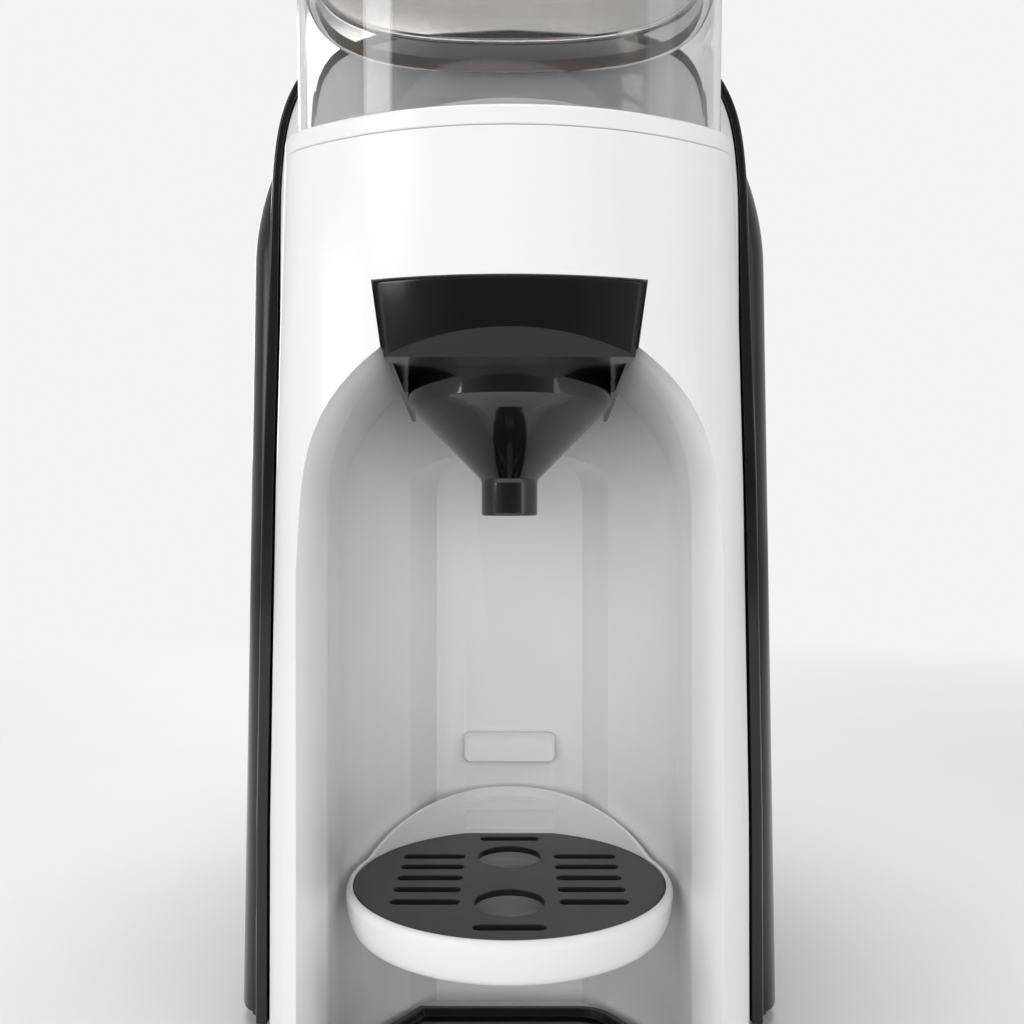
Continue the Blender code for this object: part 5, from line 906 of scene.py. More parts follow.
def arch(
    half_foot: float, taper: float, foot: float, corner: float, radius: float, steps: int = 24
) -> list[Point2]:
    """Returns (x, z) points of an arch whose shoulders start low and tighten towards the crown.

    Args:
        half_foot: the half width at height 0.
        taper: how much each side leans in, per millimetre of height.
        foot: the height that the arch starts at.
        corner: the height of a plain round corner's centre.
        radius: the corner's radius across.
        steps: how many pieces each corner is drawn with.

    Returns:
        The points from the right foot over the crown to the left foot.
    """
    crown = math.radians(9)
    low, tall = corner - 20, radius + 19.8
    centre_x = half_foot - taper * low - radius
    right = [(half_foot - taper * z, z) for z in (foot, (foot + low) / 2)]
    end = math.atan(math.tan(math.pi / 2 - crown) * tall / radius)
    for i in range(steps + 1):
        right.append((centre_x + radius * math.cos(end * i / steps), low + tall * math.sin(end * i / steps)))
    top_radius = right[-1][0] / math.sin(crown)
    top_z = right[-1][1] - top_radius * math.cos(crown)
    over = arc((0, top_z), top_radius, math.pi / 2 - crown, math.pi / 2 + crown, 16)[1:-1]
    return [*right, *over, *[(-x, z) for x, z in reversed(right)]]


TRIM_SIDE = (
    (87.2, 5.7), (87.0, 76.0), (85.9, 140.0), (85.0, 192.0), (83.1, 254.0), (82.0, 285.0), (81.2, 300.0),
    (79.9, 311.0), (78.0, 319.0), (75.2, 326.0), (71.2, 332.0), (62.0, 339.2), (48.0, 344.2), (30.0, 347.4),
    (0.0, 349.2),
)


def trim_arch(inset: float, foot: float = 5.7) -> list[Point2]:
    """Returns the trim's front outline, moved inwards.

    Args:
        inset: how far each point moves in along its normal. Beyond 2 mm it grows below the shoulder.
        foot: the height that the sides start at.

    Returns:
        The points from the right foot over the crown to the left foot.
    """
    side = smooth(TRIM_SIDE, 4)
    knots = [Vector(point) for point in mirrored(side[:-1], [side[-1]])]
    points = []
    for i, knot in enumerate(knots):
        along = knots[min(i + 1, len(knots) - 1)] - knots[max(i - 1, 0)]
        inward = Vector((-along.y, along.x)).normalized()
        low = min(max((290 - knot.y) / 50, 0), 1)
        moved = knot + inward * (inset + 1.2 * low * max(inset - 2, 0))
        points.append((moved.x, foot if i in (0, len(knots) - 1) else moved.y))
    return points


@dataclass
class Back:
    """The white arch panel, the dark band round it and the dark rear body with its mains inlet."""

    band: float = 3.2
    half_width: float = 96.6
    taper: float = 0.016
    corner_radius: float = 52.0
    side_round: float = 45.0
    top_round: float = 12.0
    round_depth: float = 84.0
    wall: float = 2.4

    def stations(self, inset: float, front: float) -> list[Point3]:
        """Returns (y, side inset, top inset) from the rear body's front to its back."""
        straight = PLAN.back - self.round_depth
        rows = [(front, 9.5 + inset, 4.75 + inset)]
        if front < PLAN.rear_front:
            rows.append((PLAN.rear_front, 9.5 + inset, 4.75 + inset))
        for i in range(1, 9):
            turn = math.pi / 2 * i / 8
            left = 9.5 * (1 - math.sin(turn))
            rows.append((PLAN.rear_front + 17 * (1 - math.cos(turn)), left + inset, left / 2 + inset))
        for i in range(25):
            turn = math.pi / 2 * i / 24
            lean = 1 - math.cos(turn)
            y = straight + (self.round_depth - inset) * math.sin(turn)
            side = inset + (self.side_round - inset) * lean
            rows.append((y, side, inset + (self.top_round - inset) * lean))
        return rows

    def form(self, inset: float, front: float, foot: float) -> Solid:
        """Returns the rear body's form as a solid, moved inwards by an inset."""
        rings = []
        for y, side, top in self.stations(inset, front):
            outline = arch(self.half_width - side, self.taper, foot, 288.0, self.corner_radius - top)
            rings.append([(x, y, z) for x, z in outline])
        return loft(rings)

    def panel(self) -> bpy.types.Object:
        """Builds the white panel behind the head, with its window."""
        panel = Form("arch_face", prism(trim_arch(self.band), PLAN.panel, -59.4, "Y"))
        window = round_box(56.3, 140.95, 7, 6, (0, 132.65))
        return panel.cut(prism(window, -80, -50, "Y")).clean().soften(0.5, 2).done()

    def trim(self) -> bpy.types.Object:
        """Builds the glossy band, with the seat for the panel behind its front edge."""
        front, back = -63.0, -55.0
        rings = []
        near = ((front, 1.2), (front + 0.15, 0.7), (front + 0.5, 0.3), (front + 1.2, 0.0))
        for y, inset in (*near, (back - 0.4, 0.0), (back, 0.4)):
            rings.append([(x, y, z) for x, z in trim_arch(inset)])
        trim = Form("band", loft(rings))
        trim.cut(prism(trim_arch(self.band - 0.3, -5), front - 6, -59.1, "Y"))
        trim.cut(prism(trim_arch(self.band + 3, -5), front - 8, back + 6, "Y"))
        return trim.clean().soften(0.35, 2).done(25)

    def housing(self) -> bpy.types.Object:
        """Builds the rear body: the spine and the deck that carries the tank."""
        housing = Form("rear_body", self.form(0, PLAN.rear_front, PLAN.bottom))
        housing.cut(block((-200, PLAN.tank_front, PLAN.deck), (200, 200, 600)))
        hollow = Form("hollow", self.form(self.wall, -60.7, -0.3))
        hollow.cut(block((-200, PLAN.tank_front - self.wall, PLAN.deck - self.wall), (200, 200, 600)))
        for side in (-1, 1):
            hollow.cut(prism(circle(6.5, 32, (side * 89.3, 75.5)), -20, 21.7))
        housing.cut(hollow)
        holes = [prism(circle(11.7, 64, (0, 70)), 100, PLAN.deck + 2)]
        holes += [prism(circle(1.8, 24, (side * 89.3, 75.5)), 0, 15.3) for side in (-1, 1)]
        holes.append(prism(round_box(12.3, 8.3, 2, 6, (0, 30)), 143, 170, "Y"))
        return housing.cut(merged(*holes)).clean(0.2).soften(0.6, 2, 38).done(28)

    def inlet(self) -> bpy.types.Object:
        """Builds the two-pin mains inlet in the back wall."""
        inlet = Form("mains_inlet", prism(round_box(12, 8, 2, 6, (0, 30)), 143.5, 159.2, "Y"))
        inlet.join(prism(round_box(15, 11, 2, 6, (0, 30)), 155.2, 156.8, "Y"))
        mouth = Form("mouth", prism(round_box(10, 6, 2, 6, (0, 30)), 147.2, 170, "Y"))
        for side in (-1, 1):
            mouth.cut(prism(circle(1.2, 20, (side * 4.3, 30)), 140, 157.2, "Y"))
        return inlet.cut(mouth).clean().soften(0.25, 2).done()

    def build(self, maker: Maker) -> None:
        """Builds and dresses the panel, the band and the rear body."""
        maker.put(self.panel(), "white_plastic", "body", ("arch_panel",))
        maker.put(self.trim(), "trim_plastic", "body", ("frame_trim",))
        maker.put(self.housing(), "rear_plastic", "body", ("rear_housing",))
        maker.put(self.inlet(), "black_plastic", "body", ("power_inlet",))


@dataclass
class Tank:
    """The smoky water tank behind the spine, and its lid."""

    wall: float = 2.4
    body: Back = field(default_factory=Back)

    def _part(self, name: str, front: float, low: float, high: float, inset: float = 0.0) -> Form:
        """Returns the rear body's form between two heights and behind a place."""
        form = Form(name, self.body.form(inset, PLAN.rear_front, PLAN.bottom))
        return form.keep(block((-200, front, low), (200, 200, high)))

    def build(self, maker: Maker) -> None:
        """Builds and dresses the tank and its lid."""
        front = PLAN.tank_front + PLAN.gap
        tank = self._part("tank_shell", front, 107.3, PLAN.tank_top)
        tank.cut(self._part("water", front + self.wall, 110.3, 400, self.wall))
        tank.cut(prism(circle(10, 64, (0, 70)), 100, 116))
        maker.put(tank.clean(0.2).soften(0.8, 3, 38).done(28), "tank_plastic", "tank", ("water_tank",))
        lid = self._part("tank_cap", front, PLAN.tank_top + 0.3, 600)
        lid.cut(self._part("under", front + self.wall, 300, 600, self.wall))
        cover = lid.clean(0.2).soften(0.8, 3, 38).done(28)
        maker.put(cover, "rear_plastic", "tank_cover", ("tank_lid",))


@dataclass
class Container:
    """The clear powder container on the deck, its lid and seal, and the wheel that stirs the powder."""

    foot: float = 283.5
    height: float = 56.5
    half_foot: float = 62.1
    half_top: float = 62.9
    half_depth: float = 42.0
    wall: float = 2.0

    def form(self, inset: float, rows: Sequence[Point2]) -> Solid:
        """Returns the container's form through heights, each with its own further inset."""
        rings = []
        for z, more in rows:
            share = (z - self.foot) / self.height
            half = self.half_foot + (self.half_top - self.half_foot) * share - inset - more
            rings.append([(x, y, z) for x, y in oval(half, self.half_depth - inset - more)])
        return loft(rings)

    def band(self, inset: float, low: float, high: float, edge: float = 0.0) -> Solid:
        """Returns the form between two heights, with softened ends."""
        if not edge:
            return self.form(inset, [(low, 0), (high, 0)])
        rows = [(low, edge), (low + 0.3 * edge, 0.3 * edge), (low + edge, 0)]
        return self.form(inset, rows + [(high - edge, 0), (high - 0.3 * edge, 0.3 * edge), (high, edge)])

    def box(self) -> bpy.types.Object:
        """Builds the container."""
        top = self.foot + self.height
        rows = [(self.foot, 2.0), (self.foot + 0.3, 1.1), (self.foot + 1.0, 0.4), (self.foot + 2.2, 0)]
        outside = self.form(0, rows + [(top - 0.6, 0), (top - 0.2, 0.2), (top, 0.6)])
        box = Form("powder_box", outside)
        inner = self.foot + 2.5
        rows = [(inner, 2.4), (inner + 0.4, 1.2), (inner + 1.2, 0.4), (inner + 2.6, 0), (top + 6, 0)]
        box.cut(self.form(self.wall, rows))
        holes = [circle(4.8, 24, (0, PLAN.drive)), circle(5.1, 24, (0, PLAN.chute))]
        box.cut(merged(*[prism(hole, self.foot - 6, inner + 6) for hole in holes]))
        return box.clean(0.2).done(35)

    def cap(self) -> bpy.types.Object:
        """Builds the lid with its skirt and grip."""
        bottom = self.foot + self.height + 0.3
        lid = Form("box_lid", self.band(0, bottom, bottom + 4, 1.2))
        grip = []
        for z, inset in ((bottom + 2, 0), (bottom + 6.6, 0), (bottom + 7.8, 0.5), (bottom + 8.4, 1.7)):
            outline = round_box(26 - inset, 9 - inset, 4.5 - inset, 8, (0, PLAN.drive))
            grip.append([(x, y, z) for x, y in outline])
        lid.join(loft(grip)).join(self.band(3.6, 329, bottom + 2))
        lid.cut(self.band(5.4, 320, bottom))
        return lid.clean(0.2).soften(0.3, 2, 45).done(35)

    def seal(self) -> bpy.types.Object:
        """Builds the seal round the skirt, with two fine ribs."""
        rows = [(330.0, 0.5), (330.3, 0), (331.0, 0), (331.4, 0.35)]
        rows += [(332.1, 0.35), (332.5, 0), (333.2, 0), (333.5, 0.5)]
        seal = Form("lid_gasket", self.form(self.wall + 0.3, rows))
        return seal.cut(self.band(3.3, 325, 340)).clean(0.2).done(40)

    def wheel(self) -> bpy.types.Object:
        """Builds the spoked wheel with its six-sided socket."""
        low, centre = 286.3, (0.0, PLAN.drive)
        hub = [(0, low), (8, low), (8, low + 7), (4, low + 11), (0, low + 11)]
        wheel = Form("stirrer", turned(rounded(hub, 1.0), centre, 48))
        rim = rounded([(35.5, low), (38, low), (38, low + 5), (35.5, low + 5)], 0.8, 3)
        wheel.join(turned(rim, centre, 96))
        for index in range(3):
            section = [(-1.5, low), (1.5, low), (1.1, low + 4.4), (-1.1, low + 4.4)]
            spoke = [Vector(p) for p in rounded(section, 0.5, 2)]
            turn = Matrix.Rotation(math.pi * index / 3, 3, "Z")
            rings = []
            for reach in (-36.7, 36.7):
                places = [turn @ Vector((reach, p.x, p.y)) for p in spoke]
                rings.append([(p.x, p.y + PLAN.drive, p.z) for p in places])
            wheel.join(loft(rings))
        return wheel.cut(prism(circle(4.4, 6, centre), low - 6, low + 8.5)).clean().done(35)

    def build(self, maker: Maker) -> None:
        """Builds and dresses the container's pieces."""
        maker.put(self.box(), "container_plastic", "container", ("powder_container",))
        maker.put(self.cap(), "lid_plastic", "lid", ("container_lid",))
        maker.put(self.seal(), "seal_silicone", "lid", ("lid_seal",))
        maker.put(self.wheel(), "nylon", "wheel", ("stirring_wheel",))


@dataclass
class Drawer:
    """The black funnel drawer with its curved face, and the funnel that hangs in it."""

    face: float = 12.0
    bevel_rise: float = 7.0
    bevel_depth: float = 6.0
    plate: float = 2.4
    cheek: float = 1.2
    length: float = 88.0
    front_radius: float = 97.0

    def face_ring(self, z: float, out: float, edge: float) -> Ring:
        """Returns the face's plan at a height, set back and narrowed by an edge's rounding."""
        half = 33.0 + 2.9 * max((z - PLAN.drawer_bottom) / 20, 0) - edge
        middle = (0.0, PLAN.front + self.front_radius)
        rows = []
        for radius in (self.front_radius - out, self.front_radius - self.face):
            reach = math.asin(half / radius)
            rows.append(arc(middle, radius, reach - math.pi / 2, -reach - math.pi / 2, 40))
        corner = Vector(rows[0][0])
        right = [(corner.x, corner.y + 1.0)]
        left = [(-corner.x, corner.y + 1.0)]
        rows[0][0] = (corner.x - 1.6, rows[0][0][1] - 0.55)
        rows[0][-1] = (-rows[0][0][0], rows[0][0][1])
        return [(x, y, z) for x, y in [*right, *rows[0], *left, *reversed(rows[1])]]

    def front(self) -> Solid:
        """Returns the face, black and curved, with a softened top edge."""
        low, knee, top = PLAN.drawer_bottom, PLAN.drawer_bottom + self.bevel_rise, PLAN.drawer_top
        rows = [(low, 0.0), (knee, 0.0), (top - 0.8, 0.0), (top - 0.25, 0.2), (top, 0.75)]
        return loft([self.face_ring(z, edge, edge) for z, edge in rows])

    def bevel(self) -> Solid:
        """Returns the wedge that leans the face's foot back, which leaves a crescent."""
        slope = self.bevel_rise / self.bevel_depth
        ahead, behind = PLAN.front - 6, PLAN.front + self.bevel_depth + 6
        low = PLAN.drawer_bottom
        wedge = [(ahead, low + self.bevel_rise + 6 * slope), (ahead, low - 6 * slope)]
        wedge.append((behind, low - 6 * slope))
        return prism(wedge, -80, 80, "X")

    def tray(self) -> bpy.types.Object:
        """Builds the drawer."""
        low, top = PLAN.drawer_bottom, PLAN.drawer_top
        drawer = Form("drawer_front", self.front())
        drawer.cut(self.bevel())
        half, back = 33.0, PLAN.front + self.length
        shelf = [(half, back), (-half, back), (-half, -142.2), (half, -142.2)]
        drawer.join(prism(shelf, low, low + self.plate))
        ahead = PLAN.front + self.bevel_depth + self.plate
        cheek = [(back, top - 2.4), (ahead, top - 2.4), (ahead, low + 1.2), (back, low - 10)]
        for side in (1, -1):
            lower, upper = sorted((side * half, side * (half - self.cheek)))
            drawer.join(prism(cheek, lower, upper, "X"))
        hole = circle(31.3, 96, (0, PLAN.bay))
        drawer.cut(prism(hole, low - 6, low + self.plate + 6))
        for side in (1, -1):
            clip = round_box(3.2, 0.9, 0.5, 4, (-112, low - 1.6))
            drawer.join(prism(clip, *sorted((side * 32.6, side * 31.95)), "X"))
        return drawer.clean(0.2).soften(0.3, 2, 36).done(32)

    def funnel(self) -> bpy.types.Object:
        """Builds the funnel: cylinder, shoulder, cone and spout, hung by its lip."""
        low = PLAN.drawer_bottom
        lip, shoulder = low + 2.7, low - 7.8
        cone, end = low - 10.5, low - 31
        profile = [
            (31, lip + 12), (31, lip + 0.8), (31.8, lip + 0.8), (31.8, lip), (31, lip), (31, shoulder),
            (28.8, cone), (8.6, end), (8.6, end - 10.8), (6.8, end - 10.8), (6.8, end + 1.26),
            (27, cone + 1.26), (29.2, shoulder + 1.26), (29.2, lip + 12),
        ]
        fine = rounded(list(reversed(profile)), 0.9, 4)
        return Form("funnel_cup", turned(fine, (0, PLAN.bay), 128)).done(50)

    def build(self, maker: Maker) -> None:
        """Builds and dresses the drawer and the funnel."""
        maker.put(self.tray(), "black_plastic", "drawer", ("funnel_drawer",))
        maker.put(self.funnel(), "black_gloss", "drawer", ("funnel",))


@dataclass
class DripTray:
    """The white drip tray that hangs on a ledge, and the dark slotted grate in it."""

    radius: float = 49.7
    rim: float = 2.1
    rim_z: float = 69.5
    bottom: float = 56.5
    back_start: float = 18.0
    back_rise: float = 15.1

    def rim_height(self, angle: float) -> float:
        """Returns the rim's height at an angle: level in front, rising towards the back."""
        behind = self.radius * math.sin(angle) - self.back_start
        return self.rim_z + self.back_rise * max(behind / (self.radius - self.back_start), 0)

    def ring(self, radius: float, height: float | None = None, drop: float = 0.0) -> Ring:
        """Returns a ring of the bowl, level or following the rim."""
        points = circle(radius, 128, (0, PLAN.bay))
        if height is None:
            heights = [self.rim_height(math.tau * i / 128) - drop for i in range(128)]
        else:
            heights = [height] * 128
        return [(x, y, z) for (x, y), z in zip(points, heights)]

    def bowl(self) -> Solid:
        """Returns the bowl with the grate's shelf inside its rounded rim."""
        inner, shelf = self.radius - self.rim, self.rim_z - 2.8
        low = [(45.6, 0.0), (46.6, 0.35), (47.5, 1.2), (48.3, 2.8), (49.0, 5.2)]
        low += [(49.45, 7.8), (self.radius, 10.3)]
        rings = [self.ring(radius, self.bottom + rise) for radius, rise in low]
        edge = [(self.radius, 2.3), (self.radius - 0.12, 1.4)]
        edge += [(self.radius - 0.45, 0.65), (self.radius - 0.95, 0.18)]
        edge += [(self.radius - 1.4, 0.0), (inner + 0.3, 0.06), (inner + 0.06, 0.3), (inner, 0.8)]
        rings += [self.ring(radius, None, drop) for radius, drop in edge]
        rings += [self.ring(inner, shelf), self.ring(inner - 2.4, shelf), self.ring(inner - 3.0, shelf - 1.0)]
        rings += [self.ring(43.6, self.bottom + 3.4), self.ring(42.0, self.bottom + 2.2)]
        return loft(rings)

    def tray(self) -> bpy.types.Object:
        """Builds the tray with its raised back, hook and embossed mark on the back."""
        tray = Form("spill_tray", self.bowl())
        half, front = 17.3, -54.96
        start = math.acos(half / 48.65)
        outline = [(half, front)] + arc((0, PLAN.bay), 48.65, start, math.pi - start, 24) + [(-half, front)]
        hook = Form("hook", prism(rounded(outline, 1.4, 4, range(1, 26)), self.bottom + 5.5, 95))
        slope = self.back_rise / (self.radius - self.back_start)
        ends = [(y, self.rim_z - 2.2 + slope * (y - PLAN.bay - self.back_start)) for y in (-45.0, -60.0)]
        hook.keep(prism([(-60.0, self.bottom), (-45.0, self.bottom), *ends], -30, 30, "X"))
        tray.join(hook.clean())
        mark = Form("mark", prism(round_box(15.4, 3.2, 1.3, 6, (0, 73.6)), front - 5, front + 0.55, "Y"))
        tray.cut(mark)
        tray.cut(block((-15.8, -53.46, 40), (15.8, -40, 77.6)))
        return tray.clean(0.2).soften(0.25, 2, 45).done(32)

    def slot(self, x: float, y: float) -> list[Point2]:
        """Returns the outline of one slot with round ends."""
        half = 20.1 / 2 - 1.85
        right = arc((x + half, y), 1.85, -math.pi / 2, math.pi / 2, 10)
        return right + arc((x - half, y), 1.85, math.pi / 2, 3 * math.pi / 2, 10)

    def grate(self) -> bpy.types.Object:
        """Builds the slotted grate."""
        top, low = 69.0, 67.0
        grate = Form("drip_grate", prism(circle(47.3, 128, (0, PLAN.bay)), low, top))
        openings = []
        for side in (-1, 1):
            openings.append(circle(10.15, 64, (0, PLAN.bay + side * 20)))
            openings.append(self.slot(0, PLAN.bay + side * 38.3))
            openings += [self.slot(side * 24.45, PLAN.bay + row * 9.9) for row in range(-2, 3)]
        grate.cut(merged(*[prism(outline, low - 1, top + 1) for outline in openings]))
        grate.cut(block((-17.6, -55.26, low - 1), (17.6, -40, top + 1)))
        return grate.clean().soften(0.4, 3, 45).done(32)

    def build(self, maker: Maker) -> None:
        """Builds and dresses the tray and the grate."""
        maker.put(self.tray(), "tray_plastic", "tray", ("drip_tray",))
        maker.put(self.grate(), "grate_plastic", "grate", ("tray_grate",))


@dataclass
class Base:
    """The plate in the bay's floor, and the rubber feet."""

    plate_low: float = 7.5
    plate_thickness: float = 1.5
    rim_rise: float = 2.4

    def plate(self) -> bpy.types.Object:
        """Builds the dark plate in the bottom of the bay."""
        half, radius = 50.2, 91.5
        side_y = PLAN.bay + math.sqrt(51.4**2 - half**2)
        reach = math.asin(half / radius)
        front = arc((0, PLAN.front + 97), radius, reach - math.pi / 2, -math.pi / 2, 24)
        right = [(31.0, -60.96), (half, side_y)] + front[:-1]
        outline = mirrored(right, [front[-1]])
        soft = rounded(outline, 8.0, 8, range(2, len(outline) - 2))
        low, top = self.plate_low, self.plate_low + self.plate_thickness
        plate = Form("bay_plate", prism(soft, low, top + self.rim_rise))
        inner = [(x * 0.955, -106 + (y + 106) * 0.955) for x, y in soft]
        under = [(x * 0.935, -106 + (y + 106) * 0.935) for x, y in soft]
        plate.cut(loft([[(x, y, z) for x, y in row] for row, z in ((under, top), (inner, top + 4.0))]))
        plate.cut(block((-80, -170, top), (80, -128, top + 9)))
        return plate.clean().soften(0.5, 3, 30).done()

    def foot(self, name: str, x: float, y: float) -> bpy.types.Object:
        """Builds one rubber foot with a fine ring pressed into its underside."""
        profile = [
            (0, 0.35), (3.4, 0.35), (3.8, 0), (4.4, 0), (4.8, 0.35), (5.6, 0.35), (6.0, 0), (7.6, 0),
            (8.6, 0.5), (9, 1.35), (9, 2.7), (0, 2.7),
        ]
        return Form(name, turned(rounded(profile, 0.25, 2), (x, y), 64)).done(40)

    def build(self, maker: Maker) -> None:
        """Builds and dresses the plate and the feet."""
        maker.put(self.plate(), "black_plastic", "body", ("floor_plate",))
        for end, y, reach in (("front", -114.0, 48.1), ("rear", 117.5, 52.0)):
            for side, x in (("left", -reach), ("right", reach)):
                piece = self.foot(f"rubber_{end}_{side}", x, y)
                maker.put(piece, "foot_rubber", "body", (f"foot_{end}_{side}",))


@dataclass
class Controls:
    """The black control panel on the right side, with its display and push buttons."""

    half_depth: float = 22.0
    half_height: float = 40.0
    corner: float = 5.0
    centre_z: float = 228.0
    start_drop: float = 26.0
    pitch: float = 15.0
    button: float = 4.5
    start: float = 8.0

    def place(self) -> Matrix:
        """Returns the panel's own frame on the head's side: x backwards, y up, z outwards."""
        slope = math.atan2(11.0, PLAN.panel - PLAN.corner)
        along = Vector((math.sin(slope), math.cos(slope), 0))
        share = (PLAN.front + 56.0 - PLAN.corner) / along.y
        up = Vector((-2 * 4.8 * self.centre_z / PLAN.head_top**2, 0, 1))
        out = along.cross(up).normalized()
        up = out.cross(along).normalized()
        frame = Matrix((along, up, out)).transposed().to_4x4()
        spot = Vector((head_half(self.centre_z), PLAN.corner, self.centre_z)) + along * share
        frame.translation = spot
        return frame

    def moved(self, solid: Solid) -> Solid:
        """Returns a solid given in the panel's frame in its place."""
        frame = self.place()
        return [tuple(frame @ Vector(point)) for point in solid[0]], solid[1]

    def shape(self, inset: float) -> list[Point2]:
        """Returns the panel's outline, moved inwards."""
        return round_box(self.half_depth - inset, self.half_height - inset, self.corner, 8)

    def recess(self) -> Solid:
        """Returns the stepped opening in the head's side."""
        rows = ((2.7, -5.6), (2.7, -1.6), (-0.3, -1.6), (-0.3, 6.0))
        return self.moved(loft([[(a, b, z) for a, b in self.shape(inset)] for inset, z in rows]))

    def buttons(self) -> list[tuple[str, str, Point2, float]]:
        """Returns each button's name, body, place and radius."""
        rows = []
        for row, height in enumerate((5.0, 5.0 - self.pitch)):
            for column, side in enumerate((-1, 1)):
                number = 2 * row + column + 1
                place = (side * self.pitch / 2, height)
                rows.append((f"key_cap_{number}", f"key_{number}", place, self.button))
        rows.append(("start_cap", "start_key", (0.0, -self.start_drop), self.start))
        return rows

    def panel(self) -> bpy.types.Object:
        """Builds the panel with its openings."""
        panel = Form("key_panel", self.moved(prism(self.shape(0), -1.3, -0.3)))
        panel.join(self.moved(prism(self.shape(3), -4.6, -0.95)))
        panel.cut(self.moved(prism(round_box(15.3, 9.3, 0.9, 4, (0, 26)), -2.0, 6)))
        for _, _, place, radius in self.buttons():
            panel.cut(self.moved(prism(circle(radius + 0.35, 48, place), -4.9, 6)))
        return panel.clean().soften(0.25, 2, 45).done()

    def display(self) -> bpy.types.Object:
        """Builds the display's window."""
        rings = []
        for z, inset in ((-1.7, 0), (-0.5, 0), (-0.36, 0.06), (-0.3, 0.2)):
            outline = round_box(15 - inset, 9 - inset, 0.9 - inset / 2, 5, (0, 26))
            rings.append([(a, b, z) for a, b in outline])
        return Form("read_out", self.moved(loft(rings))).done()

    def cap(self, name: str, place: Point2, radius: float) -> bpy.types.Object:
        """Builds one push button with a dished top."""
        top = 0.6
        profile = [(0, top - 0.25), (radius * 0.5, top - 0.2)]
        profile += [(radius * 0.8, top - 0.05), (radius - 0.55, top)]
        profile += [(radius - 0.15, top - 0.12), (radius, top - 0.45), (radius, -4.95), (radius + 0.9, -4.95)]
        profile += [(radius + 0.9, -6.25), (0, -6.25)]
        return Form(name, self.moved(turned(list(reversed(profile)), place, 64))).done(35)

    def build(self, maker: Maker) -> None:
        """Builds and dresses the panel, the display and the buttons."""
        maker.put(self.panel(), "charcoal_plastic", "body", ("control_panel",))
        maker.put(self.display(), "display_glass", "body", ("display_window",))
        for name, body, place, radius in self.buttons():
            node = name.replace("key_cap", "button").replace("start_cap", "start_button")
            maker.put(self.cap(name, place, radius), "button_plastic", body, (node,))


@dataclass
class Inside:
    """The drive, water path, valve and electronics, which keep their own shapes."""

    plastic: tuple[str, ...] = ("drive_gear", "powder_chute", "water_nozzle", "valve_body", "inlet_socket")
    dark: tuple[str, ...] = ("drive_coupling", "valve_plunger", "water_pump")
    steel: tuple[str, ...] = ("gear_motor", "drive_plate", "water_heater", "valve_spring")
    screws: tuple[str, ...] = ("front_left", "front_right", "rear_left", "rear_right")
    hoses: tuple[str, ...] = ("inlet_hose", "pump_hose", "outlet_hose")

    def build(self, maker: Maker) -> None:
        """Dresses the inner pieces."""
        maker.dress("nylon", *self.plastic)
        maker.dress("charcoal_plastic", *self.dark)
        maker.dress("steel", *self.steel, *[f"base_screw_{place}" for place in self.screws])
        maker.dress("pinion_brass", "motor_pinion")
        maker.dress("seal_silicone", "valve_seal")
        maker.dress("hose_silicone", *self.hoses)
        maker.dress("circuit_board", "main_board")
        maker.dress("rear_plastic", "base_cover")


# Studio ----------------------------------------------------------------------------------------


@dataclass(frozen=True)
class Lamp:
    """One soft studio lamp, placed in metres and aimed at a point."""

    name: str
    at: Point3
    aim: Point3
    size: Point2
    power: float
    colour: Point3 = (1.0, 1.0, 1.0)
    mirrored: bool = True

    def light(self) -> None:
        """Adds the lamp to the scene."""
        data = bpy.data.lights.new(self.name, "AREA")
        data.shape = "RECTANGLE"
        data.size, data.size_y = self.size
        data.energy = self.power
        data.color = self.colour
        lamp = bpy.data.objects.new(self.name, data)
        lamp.location = self.at
        lamp.visible_glossy = self.mirrored
        lamp.rotation_euler = (Vector(self.aim) - Vector(self.at)).to_track_quat("-Z", "Y").to_euler()
        bpy.context.scene.collection.objects.link(lamp)


class WorldGraph(Graph):
    """The node tree of the studio's world, whose shader is its Background."""

    def __init__(self, world: bpy.types.World) -> None:
        """Turns the world's nodes on and takes its tree."""
        world.use_nodes = True
        self.tree = world.node_tree
        self.shader = self.tree.nodes["Background"]


